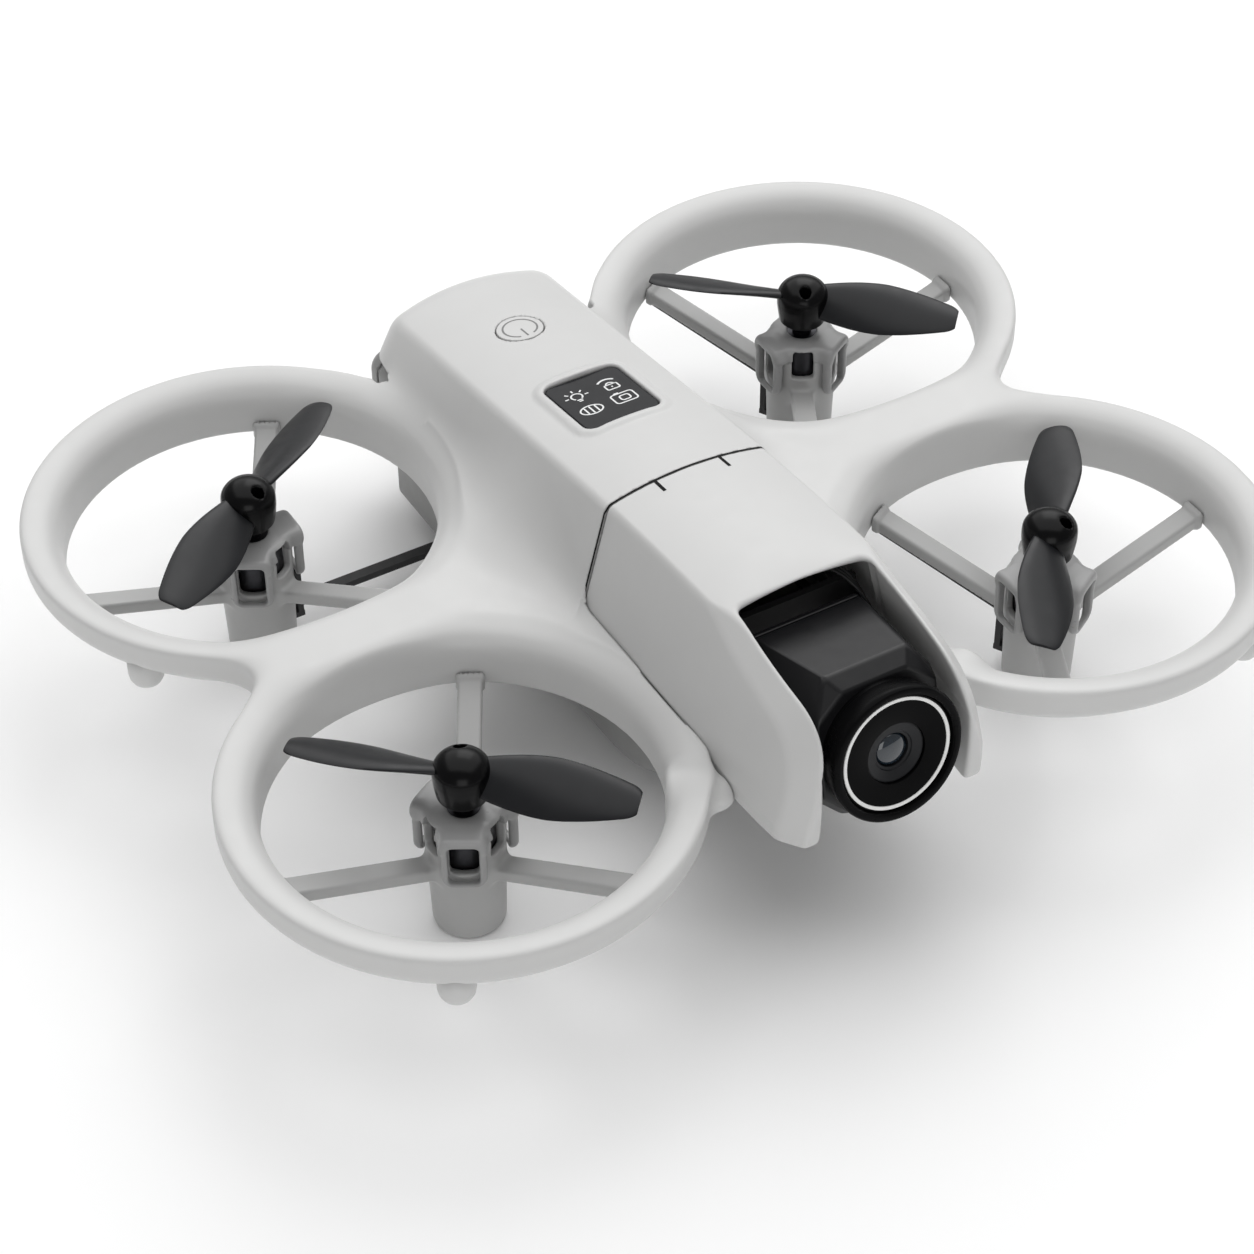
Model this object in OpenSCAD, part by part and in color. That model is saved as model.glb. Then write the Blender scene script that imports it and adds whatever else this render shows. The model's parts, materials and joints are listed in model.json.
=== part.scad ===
// Ducted mini camera drone: four guarded propellers around a slim body,
// a tilting camera in the nose and a battery pack that slides out of the tail.
// X runs across, the nose points to -Y, Z is up. The origin is on the ground
// under the middle of the outline. Inside the modules, heights are measured
// from the deck, the plane of the four duct lips.

/* [Layout] */
// Distance across between the duct centres
track = 95.5; // [95:0.1:97]
// Distance between the front and the rear duct centres
wheelbase = 65.6; // [65.4:0.1:66.4]
// Height of the duct lips above the ground
deck_z = 27; // [27:0.1:30]

/* [Ducts] */
// Inner radius of a duct
duct_r = 27; // [26.6:0.1:27.2]
// Width of the rounded lip, from the inner wall to the outer edge
lip_w = 6.2; // [6:0.1:6.3]
// Height of the rounded lip
lip_h = 5.1; // [4.5:0.1:5.5]
// Height of a whole duct
duct_h = 9.2; // [9:0.1:10]
// Height of the duct's outer wall
outer_wall_h = 4.5; // [4:0.1:5]

/* [Motor pods] */
// Diameter of the coreless motor
motor_d = 8.5; // [8.4:0.1:8.6]
// Length of the motor
motor_l = 20; // [19:0.1:20]
// Width of a spoke
spoke_w = 3.5; // [2.5:0.1:4]
// Height of a spoke
spoke_h = 2.2; // [1.8:0.1:2.6]
// Diameter of the motor shaft
shaft_d = 1; // [0.8:0.1:1.2]

/* [Propellers] */
// Radius at the blade tips
prop_r = 24.3; // [20:0.1:24.6]
// Widest chord of a blade
blade_w = 9; // [7:0.1:9.5]
// Diameter of the propeller hub
hub_d = 8.2; // [7.8:0.1:8.6]

/* [Body] */
// Half the body's width at the deck
body_hw = 17.1; // [17:0.1:17.4]
// Half the distance between the two ridges along the top
ridge_hw = 12.9; // [12.5:0.1:13.2]
// Rise of the crowned top above the ridges
crown = 1.8; // [1:0.1:2.4]
// Wall thickness of the shells
wall = 1.4; // [1.2:0.1:1.6]
// Where the joint between the rear cover and the nose hood lies
seam_y = -11; // [-12:0.5:-10]
// Width of that joint
seam_w = 0.4; // [0.3:0.1:0.5]
// Depth of the belly below the deck
belly_d = 24.4; // [24:0.1:25]

/* [Camera] */
// Upward tilt of the camera at rest
cam_pitch = 12; // [8:1:14]
// Outer radius of the lens barrel
lens_r = 10; // [9.6:0.1:10.2]
// Width of the camera housing
cam_w = 19.6; // [18.8:0.2:19.8]

/* [Display] */
// Width of the display window
disp_w = 12.2; // [11:0.1:13]
// Length of the display window
disp_l = 14; // [12:0.1:15]

/* [Hidden] */
$fn = 72;
eps = 0.01;

rim_r = duct_r + lip_w;                       // outer radius of a duct
cx = track / 2;
cy = wheelbase / 2;
cam_y = -51.4;                                // camera tilt axis
cam_z = 3.6;
lens_reach = 14;                              // tilt axis to the lens face
nose_y = cam_y - lens_reach * cos(cam_pitch) - lens_r * sin(cam_pitch);
y_shift = -(nose_y + cy + rim_r) / 2;         // centres the outline on the origin

tail_y = 54;                                  // where the top starts to turn down
tail_bulge = 2.4;
shell_base = 0.3;                             // lower rim of cover and hood
lip_line = [[-45, 18.1], [-41, 17.9], [-11, 15.8], [14, 11.4], [27, 10], [36, 8.5], [54, 6]];
fork_y = -41.5;                               // rear edge of the camera opening
side_lean = atan((body_hw - ridge_hw) / (17.9 - shell_base));

motor_top = -6.2;
barrel_top = -8.4;
barrel_r = 5.65;
barrel_foot_r = 5.1;
motor_gap = 0.05;
spoke_in_z = -14.2;                           // top of a spoke at the barrel
spoke_out_z = -7;                             // and at the duct
cap_top = -5.7;
loop_r = 7.35;
loop_w = 7.3;
loop_low = -15.3;
hub_top = 3.7;
hub_low = -3.8;

disp_y = 12.5;
disp_tilt = -6.5;                             // the top falls away to the tail
power_y = 37;
power_d = 7.4;
power_tilt = -8.5;
board_z = -1;                                 // top of the main board
board_t = 1.2;
usb_w = 9;
usb_h = 3.2;
usb_z = 2.3;                                  // middle of the socket
bay_hw = 14.2;                                // battery bay
bay_top = -3.4;
bay_low = -22.4;
bay_front = -4;
pack_gap = 0.3;
tray_rear = 48;
pack_rear = 56.5;
latch_w = 12;
latch_h = 5;
latch_z = -13;

screw_places = [for (x = [-11, 11], y = [-1, 43]) [x, y]];

function ridge_z(y) = lookup(y, lip_line);
function side_x(z) = body_hw - (body_hw - ridge_hw) * (z - shell_base) / (17.9 - shell_base);

// One arch of the body at y: from the left base over the crown to the right
// base, thinner all round by inset, with its height above the base scaled by k.
side_n = 3;
crown_n = 12;
function arch(y, inset, k, bulge) =
    let (top = ridge_z(y) - inset, rx = ridge_hw - inset, bx = body_hw - inset)
    let (half = [
        for (i = [0 : side_n - 1])
            let (t = i / side_n) [bx + (rx + 0.5 - bx) * t, shell_base + (top - 1.2 - shell_base) * t],
        [rx + 0.55, top - 1.1], [rx + 0.2, top - 0.3]
    ])
    let (mid = [
        for (i = [0 : crown_n])
            let (u = 1 - 2 * i / crown_n) [rx * u * 0.98, top + 0.02 + crown * (1 - u * u)]
    ])
    let (all = concat(half, mid, [for (i = [len(half) - 1 : -1 : 0]) [-half[i][0], half[i][1]]]))
    [for (p = all) [p[0], y + bulge * (1 - pow(p[0] / bx, 2)),
                    shell_base + (p[1] - shell_base) * k]];

// Triangles of a grid of rows x cols points that starts at point b.
function grid(rows, cols, b, flip) = [
    for (i = [0 : rows - 2], j = [0 : cols - 2])
        let (p = b + i * cols + j, q = p + cols)
        each (flip ? [[p, q, q + 1], [p, q + 1, p + 1]] : [[p, q + 1, q], [p, p + 1, q + 1]])
];
// Strip of triangles that joins two equal chains of point numbers.
function strip(a, b) = [
    for (i = [0 : len(a) - 2]) each [[a[i], b[i], b[i + 1]], [a[i], b[i + 1], a[i + 1]]]
];
// A thin shell between an outer and an inner grid of the same size.
module grid_shell(outer, inner) {
    rows = len(outer);
    cols = len(outer[0]);
    n = rows * cols;
    first = [for (j = [0 : cols - 1]) j];
    last = [for (j = [0 : cols - 1]) (rows - 1) * cols + j];
    left = [for (i = [0 : rows - 1]) i * cols];
    right = [for (i = [0 : rows - 1]) i * cols + cols - 1];
    up = function (c) [for (k = c) k + n];
    polyhedron(
        [each [for (r = outer) each r], each [for (r = inner) each r]],
        concat(
            grid(rows, cols, 0, false), grid(rows, cols, n, true),
            strip(first, up(first)), strip(up(last), last),
            strip(up(left), left), strip(right, up(right))
        )
    );
}

module at_deck() { translate([0, y_shift, deck_z]) children(); }
module at_duct(sx, sy) { at_deck() translate([sx * cx, sy * cy, 0]) children(); }
module both_sides() { children(); mirror([1, 0, 0]) children(); }
// Along the camera: -Y is the way the lens looks, the origin is the tilt axis.
module at_camera() { at_deck() translate([0, cam_y, cam_z]) rotate([-cam_pitch, 0, 0]) children(); }
module at_power_button() {
    translate([0, power_y, ridge_z(power_y) + crown]) rotate([power_tilt, 0, 0]) children();
}
// A plate with rounded corners, centred, standing on z = 0.
module rounded_plate(w, l, h, r) {
    linear_extrude(h) union() {
        square([w - 2 * r, l], center = true);
        square([w, l - 2 * r], center = true);
        for (x = [-1, 1], y = [-1, 1]) translate([x * (w / 2 - r), y * (l / 2 - r)]) circle(r);
    }
}
// A YZ outline made into a slab of width w, centred on x = 0.
module side_slab(w, outline) {
    rotate([90, 0, 90]) translate([0, 0, -w / 2]) linear_extrude(w) polygon(outline);
}

// ---- shells -------------------------------------------------------------
cover_stations = [for (y = [seam_y : 6.5 : tail_y]) y];
tail_steps = [[1, 54.6, 0.97], [1, 55.2, 0.86], [1, 55.5, 0.6], [1, 55.6, 0.3], [1, 55.6, 0]];
module top_cover() {
    function swell(y) = tail_bulge * pow(max(0, (y - 40) / (tail_y - 40)), 2);
    function rows(inset) = concat(
        [for (y = cover_stations) arch(min(y, tail_y - 1.2 * inset), inset, 1, swell(y))],
        [for (s = tail_steps) arch(s[1] - inset * 1.05, inset, s[2], tail_bulge)]
    );
    color("whitesmoke") at_deck() difference() {
        grid_shell(rows(0), rows(wall));
        translate([0, disp_y, ridge_z(disp_y) + crown - 1]) rotate([disp_tilt, 0, 0])
            translate([0, 0, -3]) rounded_plate(disp_w + 0.2, disp_l + 0.2, 8, 1.6);
        at_power_button() translate([0, 0, -3]) cylinder(h = 8, d = power_d + 0.4);
        translate([0, tail_y + 2, usb_z]) rotate([90, 0, 0])
            translate([0, 0, -8]) rounded_plate(usb_w + 0.5, usb_h + 0.5, 12, usb_h / 2 - 0.1);
    }
}

cheek_outline = [
    [-38, 0.6], [-44, -4.4], [-50, -7.2], [-58, -8], [-62.4, -6.1], [-63.9, 1.6],
    [-63.1, 9.3], [-60.3, 14.1], [-53.4, 16.3], [-44.4, 17.8], [-38, 17]
];
cheek_t = 2.6;
hood_stations = [for (i = [0 : 4]) seam_y - seam_w + (fork_y - seam_y + seam_w) * i / 4];
module nose_hood() {
    color("whitesmoke") at_deck() {
        grid_shell(
            [for (i = [4 : -1 : 0]) arch(hood_stations[i], 0, 1, 0)],
            [for (i = [4 : -1 : 0]) arch(hood_stations[i], wall, 1, 0)]
        );
        both_sides() intersection() {
            translate([body_hw, 0, shell_base]) rotate([0, -side_lean, 0])
                translate([-cheek_t / 2, 0, -shell_base]) side_slab(cheek_t, cheek_outline);
            translate([0, fork_y - 39, -20]) cube([body_hw - 0.05, 40, 60]);
        }
    }
}

belly_outline = [
    [-36, 0], [-36, -9], [-33.6, -14], [-30, -18.8], [-25.5, -21.8], [-20, -23.6],
    [-13, -belly_d], [tray_rear, -belly_d], [tray_rear, 0]
];
belly_hw = 16.7;
module belly_tray() {
    color("gainsboro") at_deck() difference() {
        intersection() {
            side_slab(2 * belly_hw, belly_outline);
            rotate([90, 0, 0]) translate([0, 0, -60]) linear_extrude(120) polygon([
                [-belly_hw, 1], [-belly_hw, -21.5], [-15.7, -23.5], [-13.7, -belly_d],
                [13.7, -belly_d], [15.7, -23.5], [belly_hw, -21.5], [belly_hw, 1]
            ]);
        }
        // battery bay, open to the tail
        translate([-bay_hw, bay_front, bay_low]) cube([2 * bay_hw, 80, bay_top - bay_low]);
        // electronics space above the bay
        translate([-15.2, -34.6, bay_top + 1.2]) cube([30.4, 34.6 + tray_rear - 1.5, 10]);
        // space ahead of the bay
        translate([-14, -32, -15]) cube([28, 26.6, 20]);
        translate([-12.4, -26, -21.5]) cube([24.8, 20.6, 20]);
        // seat of the downward sensor window
        translate([0, -16, -belly_d - 1]) rounded_plate(14.1, 6.1, 2, 1.5);
        for (p = screw_places) translate([p[0], p[1], -10]) cylinder(h = 10, d = 1.5);
    }
}

module saddle(sx) {
    color("whitesmoke") at_deck() translate([0, 0, -5]) linear_extrude(5.2) difference() {
        translate([sx > 0 ? body_hw : -body_hw - 9, -50]) square([9, 104]);
        for (sy = [-1, 1]) translate([sx * cx, sy * cy]) circle(rim_r);
    }
}

// ---- ducts and motor pods -----------------------------------------------
lip_n = 8;
function duct_section() = concat(
    [for (i = [0 : lip_n]) let (t = 90 * i / lip_n) [rim_r - lip_w * sin(t), -lip_h * (1 - cos(t))]],
    [[duct_r, -duct_h], [duct_r + 1.6, -duct_h], [rim_r, -outer_wall_h]]
);
module duct(sx, sy) {
    color("whitesmoke") intersection() {
        at_duct(sx, sy) rotate_extrude() polygon(duct_section());
        // the body's side and the neighbouring duct cut it off
        at_deck() translate([sx > 0 ? body_hw : -body_hw - 80, sy > 0 ? 0 : -80, -20])
            cube([80, 80, 30]);
    }
}

// The angles of the three spokes on one side of the body.
function spokes(sx) = sx > 0 ? [0, 120, 240] : [60, 180, 300];
// The way the leads leave a pod: straight to the belly from the rear right
// one, and under the spoke that runs back towards the body from the others.
function lead_angle(sx, sy) = sx > 0 ? 120 : sy > 0 ? 0 : 60;
module motor_mount(sx, sy) {
    color("lightgray") at_duct(sx, sy) difference() {
        union() {
            translate([0, 0, -deck_z])
                cylinder(h = deck_z + barrel_top, r1 = barrel_foot_r, r2 = barrel_r);
            for (a = spokes(sx)) rotate([0, 0, a]) rotate([90, 0, 0])
                translate([0, 0, -spoke_w / 2]) linear_extrude(spoke_w) polygon([
                    [barrel_r - 1, spoke_in_z], [duct_r, spoke_out_z],
                    [duct_r, spoke_out_z - spoke_h], [barrel_r - 1, spoke_in_z - spoke_h]
                ]);
        }
        translate([0, 0, motor_top - motor_l])
            cylinder(h = 30, r = motor_d / 2 + motor_gap);
        translate([0, 0, -deck_z - 1]) cylinder(h = 5, r = 2.2);
        // windows that the cap's loops look through
        for (a = spokes(sx)) rotate([0, 0, a + 60])
            translate([3, -1.9, -13.6]) cube([5, 3.8, 10]);
        // notches over the spokes
        for (a = spokes(sx)) rotate([0, 0, a]) translate([3, -1.7, -11.7]) cube([5, 3.4, 10]);
        // slot for the leads
        rotate([0, 0, lead_angle(sx, sy)]) translate([3.5, -0.9, -deck_z + 1.5]) cube([4, 1.8, 4]);
    }
}

module motor(sx, sy) {
    color("dimgray") at_duct(sx, sy) difference() {
        union() {
            translate([0, 0, motor_top - motor_l]) cylinder(h = motor_l, d = motor_d);
            translate([0, 0, motor_top - eps]) cylinder(h = 0.8, d = 3);
        }
        translate([0, 0, motor_top - motor_l + 2])
            cylinder(h = motor_l + 5, d = shaft_d + 0.06);
    }
}

module motor_cap(sx, sy) {
    plate_t = 1.2;
    color("silver") at_duct(sx, sy) difference() {
        union() {
            translate([0, 0, cap_top - plate_t]) cylinder(h = plate_t, r = 6);
            difference() {
                translate([0, 0, barrel_top + 0.05]) cylinder(h = cap_top - barrel_top - 0.1, r = 5.4);
                translate([0, 0, -12]) cylinder(h = 12, r = motor_d / 2 + 0.2);
                for (a = spokes(sx)) rotate([0, 0, a]) translate([3, -2, -12]) cube([5, 4, 4.9]);
            }
            for (a = spokes(sx)) rotate([0, 0, a + 60]) {
                translate([4.5, -loop_w / 2, cap_top - plate_t - 0.4])
                    cube([loop_r - 4.5, loop_w, plate_t]);
                translate([loop_r - 1.25, -loop_w / 2, loop_low])
                    cube([1.25, loop_w, cap_top - 0.4 - loop_low]);
            }
        }
        translate([0, 0, -12]) cylinder(h = 10, r = 2.3);
        translate([0, 0, motor_top - 5.95]) cylinder(h = 6, d = motor_d + 0.1);
        for (a = spokes(sx)) rotate([0, 0, a + 60])
            translate([5.9, -2.1, loop_low + 1.6]) cube([4, 4.2, 6.4]);
    }
}

module shaft(sx, sy) {
    color("silver") at_duct(sx, sy) translate([0, 0, motor_top - motor_l + 3])
        cylinder(h = motor_l + 3.2, d = shaft_d);
}

// One blade as a stack of thin lens-shaped sections from root to tip. The
// edge that leads a counter-clockwise turn stands higher.
blade_n = 14;
blade_side = 6;
function chord(t) = blade_w * (t < 0.55 ? 0.42 + 0.58 * sin(90 * t / 0.55)
    : 1 - 0.42 * pow((t - 0.55) / 0.45, 2)) * (t > 0.94 ? 0.86 - 5 * (t - 0.94) : 1);
function blade_ring(t) =
    let (x = 2.2 + (prop_r - 2.2) * t, c = chord(t), a = 38 - 24 * pow(t, 0.8), h = 1.5 - 1.05 * t)
    [
        for (i = [0 : 2 * blade_side - 1])
            let (p = 180 * i / blade_side, u = c / 2 * cos(p), w = h / 2 * sin(p) + 0.05 * c * (1 - pow(cos(p), 2)))
            [x, u * cos(a) - w * sin(a), u * sin(a) + w * cos(a)]
    ];
module blade() {
    m = 2 * blade_side;
    rings = [for (i = [0 : blade_n]) blade_ring(i / blade_n)];
    polyhedron(
        [for (r = rings) each r],
        concat(
            [[for (j = [0 : m - 1]) j]], [[for (j = [m - 1 : -1 : 0]) blade_n * m + j]],
            [
                for (i = [0 : blade_n - 1], j = [0 : m - 1])
                    let (p = i * m + j, q = i * m + (j + 1) % m)
                    each [[p, q + m, q], [p, p + m, q + m]]
            ]
        )
    );
}
// turn = 1 for the propellers that turn counter-clockwise, -1 for the others
module propeller(sx, sy, turn, rest) {
    hr = hub_d / 2;
    color("#222426") at_duct(sx, sy) rotate([0, 0, rest]) difference() {
        union() {
            rotate_extrude() polygon(concat(
                [[0, hub_low - 1.2], [2, hub_low - 1.2], [2, hub_low], [hr - 0.9, hub_low],
                 [hr - 0.3, hub_low + 1]],
                [for (i = [0 : 6]) let (t = 90 * i / 6) [hr * cos(t), hub_top - 2.6 + 2.6 * sin(t)]]
            ));
            for (a = [0, 180]) rotate([0, 0, a])
                if (turn > 0) blade(); else mirror([0, 1, 0]) blade();
        }
        translate([0, 0, hub_low - 2]) cylinder(h = 9, d = shaft_d);
        rotate([0, 0, turn * 110]) translate([2.3, 0, hub_top - 2.4]) cylinder(h = 4, d = 1.9);
    }
}

// The motor's leads in one flat sleeve: out of the foot of the barrel, up its
// side, and then across to the belly or along the underside of a spoke.
lead_w = 1.8;
module leads(sx, sy) {
    across = sx < 0 && sy > 0;
    inner = barrel_r + 0.1;
    under = spoke_in_z - spoke_h - 0.1;           // underside of a spoke at the barrel
    rise = (spoke_out_z - spoke_in_z) / (duct_r - barrel_r + 1);
    color("#1b1b1d") at_duct(sx, sy) rotate([0, 0, lead_angle(sx, sy)]) {
        translate([inner, -lead_w / 2, -24.6]) cube([0.9, lead_w, across ? 9 : under + 24.3]);
        translate([4.35, -lead_w / 2, -24.6]) cube([2.4, lead_w, 0.9]);
        if (across)
            translate([inner, -lead_w / 2, -22.6]) cube([cx - belly_hw - inner, lead_w, 1.1]);
        else
            rotate([90, 0, 0]) translate([0, 0, -lead_w / 2]) linear_extrude(lead_w) polygon([
                [inner, under + rise * 1.1], [duct_r - 0.1, under + rise * (duct_r - barrel_r + 0.9)],
                [duct_r - 0.1, under - 0.7 + rise * (duct_r - barrel_r + 0.9)], [inner, under - 0.7]
            ]);
    }
}

peg_angles = [[-1, -1, -120], [-1, 1, -145], [1, 1, -35], [1, -1, -60]];
module duct_pegs() {
    color("gainsboro") for (p = peg_angles) at_duct(p[0], p[1]) difference() {
        rotate([0, 0, p[2]]) translate([30.4, 0, 0]) rotate_extrude() polygon([
            [0, -9.9], [1.4, -9.7], [2.2, -9], [2.5, -8.2], [2.6, -5.2], [0, -5.2]
        ]);
        rotate_extrude() polygon([[20, 0], [20, -duct_h], [duct_r + 1.6, -duct_h],
                                  [rim_r, -outer_wall_h], [rim_r + 5, 0]]);
    }
}

// ---- display, button and electronics --------------------------------------
module at_display() {
    at_deck() translate([0, disp_y, ridge_z(disp_y) + crown - 0.5]) rotate([disp_tilt, 0, 0]) children();
}
module display_window() {
    color("#101113") at_display() translate([0, 0, -1]) rounded_plate(disp_w, disp_l, 1, 1.5);
}
module display_module() {
    color("dimgray") {
        at_display() translate([0, 0, -3]) rounded_plate(disp_w - 0.8, disp_l - 0.8, 1.95, 0.8);
        at_deck() for (x = [-4.4, 4.4]) translate([x - 0.6, disp_y - 3, board_z])
            cube([1.2, 6, 10.3]);
    }
}
module power_button() {
    color("whitesmoke") at_deck() at_power_button() difference() {
        union() {
            translate([0, 0, -1.7]) cylinder(h = 1.5, d = power_d);
            translate([0, 0, -8.8]) cylinder(h = 7.2, d = 2.4);
        }
        // power mark: an open ring with a bar
        translate([0, 0, -0.5]) linear_extrude(1) difference() {
            circle(d = 5.6);
            circle(d = 4.9);
            translate([-0.9, -4]) square([1.8, 4]);
        }
        translate([-0.2, -2.6, -0.5]) cube([0.4, 2.2, 1]);
    }
}
module main_board() {
    color("darkgreen") at_deck() difference() {
        union() {
            translate([-14, -8, board_z - board_t]) cube([28, 54, board_t]);
            translate([-5, -4, board_z]) cube([10, 10, 1.4]);
            translate([-10.5, 22, board_z]) cube([8, 8, 1.2]);
            translate([3, 24, board_z]) cube([7, 5, 1]);
        }
        for (p = screw_places) translate([p[0], p[1], -10]) cylinder(h = 12, d = 1.5);
    }
}
module board_screws() {
    color("silver") at_deck() for (p = screw_places) translate([p[0], p[1], board_z]) difference() {
        union() {
            cylinder(h = 1, d = 3);
            translate([0, 0, -2.2]) cylinder(h = 2.2, d = 1.4);
        }
        translate([0, 0, 0.5]) cylinder(h = 1, d = 1.4, $fn = 6);
    }
}
module power_switch() {
    color("dimgray") at_deck() translate([0, power_y - 1.3, board_z]) {
        translate([-1.8, -1.8, 0]) cube([3.6, 3.6, 1.5]);
        translate([0, 0, 1.4]) cylinder(h = 0.5, d = 1.8);
    }
}
module usb_socket() {
    color("silver") at_deck() difference() {
        union() {
            translate([0, 57.4, usb_z]) rotate([90, 0, 0]) rounded_plate(usb_w, usb_h, 9, usb_h / 2 - 0.1);
            translate([-4, 43.8, board_z]) cube([8, 2.4, usb_z - board_z]);
            translate([-4, 43.8, 0.5]) cube([8, 5, usb_z - 0.5]);
        }
        translate([0, 58, usb_z]) rotate([90, 0, 0])
            rounded_plate(usb_w - 0.7, usb_h - 0.7, 7, usb_h / 2 - 0.5);
    }
}
module belly_sensor_window() {
    color("#101113") at_deck() translate([0, -16, -belly_d]) rounded_plate(14, 6, 1, 1.4);
}

// ---- battery ---------------------------------------------------------------
cell_hw = 12.4;
cell_low = bay_low + 1.6;
cell_h = 15.8;
module battery_case() {
    color("gainsboro") at_deck() difference() {
        union() {
            translate([-bay_hw + pack_gap, bay_front + 0.4, bay_low + pack_gap])
                cube([2 * (bay_hw - pack_gap), tray_rear + 1 - bay_front,
                      bay_top - bay_low - 2 * pack_gap]);
            // end block that closes the tail
            translate([0, pack_rear, -10]) rotate([90, 0, 0])
                rounded_plate(2 * belly_hw - 0.6, 19, pack_rear - tray_rear - pack_gap, 3);
        }
        translate([-cell_hw - 0.1, bay_front + 1.6, cell_low - 0.1])
            cube([2 * cell_hw + 0.2, 46.2, cell_h + 0.2]);
        translate([0, pack_rear + 1, latch_z]) rotate([90, 0, 0])
            rounded_plate(latch_w + 0.6, latch_h + 0.6, 5.5, 1.5);
    }
}
module battery_cell() {
    color("silver") at_deck() for (k = [0, 1])
        translate([-cell_hw, bay_front + 1.7, cell_low + k * cell_h / 2])
            cube([2 * cell_hw, 46, cell_h / 2 - 0.1]);
}
module battery_latch() {
    color("dimgray") at_deck() translate([0, pack_rear + 0.3, latch_z]) rotate([90, 0, 0])
        rounded_plate(latch_w, latch_h, 3, 1.3);
}
module battery_contacts() {
    color("gold") at_deck() for (x = [-6 : 4 : 6])
        translate([x - 0.9, bay_front, -15]) cube([1.8, 0.35, 6]);
}

// ---- camera ----------------------------------------------------------------
cam_back = 8;                                 // tilt axis to the back of the camera
cam_front = 9.5;                              // and to the front of its housing
cam_top = 11.5;
cam_low = -10.4;
back_t = 1.2;
module cam_outline(inset) {
    w = cam_w / 2 - inset;
    polygon([
        [-6.9 + inset * 0.4, cam_top - inset], [6.9 - inset * 0.4, cam_top - inset],
        [w, 7.6], [w, cam_low + 4], [w - 4, cam_low + inset],
        [-w + 4, cam_low + inset], [-w, cam_low + 4], [-w, 7.6]
    ]);
}
// From "from" mm behind the tilt axis, forward by h
module along_lens(from, h) { translate([0, from, 0]) rotate([90, 0, 0]) linear_extrude(h) children(); }
module lens_turned() { rotate([90, 0, 0]) rotate_extrude() children(); }

module camera_housing() {
    color("#2a2b2d") at_camera() difference() {
        along_lens(cam_back - back_t, cam_front + cam_back - back_t) cam_outline(0);
        along_lens(cam_back, cam_back + cam_front - 1.6) cam_outline(1.5);
        along_lens(0, 20) circle(r = 7.2);
        rotate([0, 90, 0]) cylinder(h = 60, d = 2, center = true);
    }
}
module camera_back() {
    color("#2a2b2d") at_camera() difference() {
        along_lens(cam_back, back_t) cam_outline(0);
        translate([-3, cam_back - 2, cam_low + 3]) cube([6, 4, 1.5]);
    }
}
module lens_barrel() {
    color("#18191b") at_camera() lens_turned() polygon([
        [7.2, cam_front - 1.5], [7.2, 12.9], [8.7, 12.9], [8.7, lens_reach],
        [lens_r - 0.4, lens_reach], [lens_r, lens_reach - 0.5], [lens_r, cam_front + 0.7],
        [lens_r - 0.6, cam_front], [7.19, cam_front]
    ]);
}
module lens_cover_glass() {
    color("#0a0b0d") at_camera() translate([0, -12.9, 0]) rotate([90, 0, 0]) cylinder(h = 0.4, r = 8.65);
}
module lens_trim_ring() {
    color("white") at_camera() lens_turned() translate([7.75, 13.3]) square([0.55, 0.15]);
}
module lens_element() {
    color("#24303c") at_camera() lens_turned() polygon(concat(
        [[0, -2], [6, -2], [6, 4], [7.1, 4.5], [7.1, 12.4], [6.4, 12.7], [4.5, 11.4], [2.4, 11]],
        [for (t = [20 : 20 : 80]) [2.4 * cos(t), 11 + 1.1 * sin(t)]], [[0, 12.1]]
    ));
}
module image_sensor_board() {
    color("darkgreen") at_camera() {
        along_lens(4.2, 1) square([14, 14], center = true);
        along_lens(3.3, 1.2) square([8, 7], center = true);
    }
}
axle_l = 2.6;
arm_in = 10.15;
arm_t = 1.1;
module camera_axle() {
    color("silver") both_sides() at_camera() translate([arm_in + arm_t - axle_l, 0, 0])
        rotate([0, 90, 0]) cylinder(h = axle_l, d = 2);
}
bracket_y = -37.1;
module camera_bracket() {
    color("#3a3b3d") at_deck() {
        translate([-arm_in - arm_t, bracket_y, -6]) cube([2 * (arm_in + arm_t), 1.05, 18]);
        both_sides() translate([arm_in, 0, 0]) difference() {
            union() {
                translate([0, cam_y, cam_z - 3.6]) cube([arm_t, bracket_y + 1 - cam_y, 7.2]);
                translate([0, cam_y, cam_z]) rotate([0, 90, 0]) cylinder(h = arm_t, r = 3.6);
            }
            translate([-1, cam_y, cam_z]) rotate([0, 90, 0]) cylinder(h = 3, d = 2.08);
        }
    }
}
module tilt_motor() {
    color("gray") at_deck() translate([-arm_in - arm_t - 1.3, cam_y, cam_z])
        rotate([0, 90, 0]) cylinder(h = 1.3, r = 4);
}
// The flex wraps the axle outside the left arm, runs back beside it, turns
// up over the bracket and ends on the main board.
module camera_ribbon() {
    color("#151516") at_deck() translate([arm_in + arm_t + 0.1, 0, 0])
        rotate([90, 0, 90]) linear_extrude(1.3) difference() {
            union() {
                translate([cam_y, cam_z]) circle(r = 3.4);
                translate([cam_y, cam_z + 2.8]) square([19.4, 0.6]);
                translate([-32.6, -1]) square([0.6, cam_z + 4.4]);
                translate([-32.6, -1]) square([25, 0.6]);
            }
            translate([cam_y, cam_z]) circle(r = 2.8);
        }
}

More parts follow.
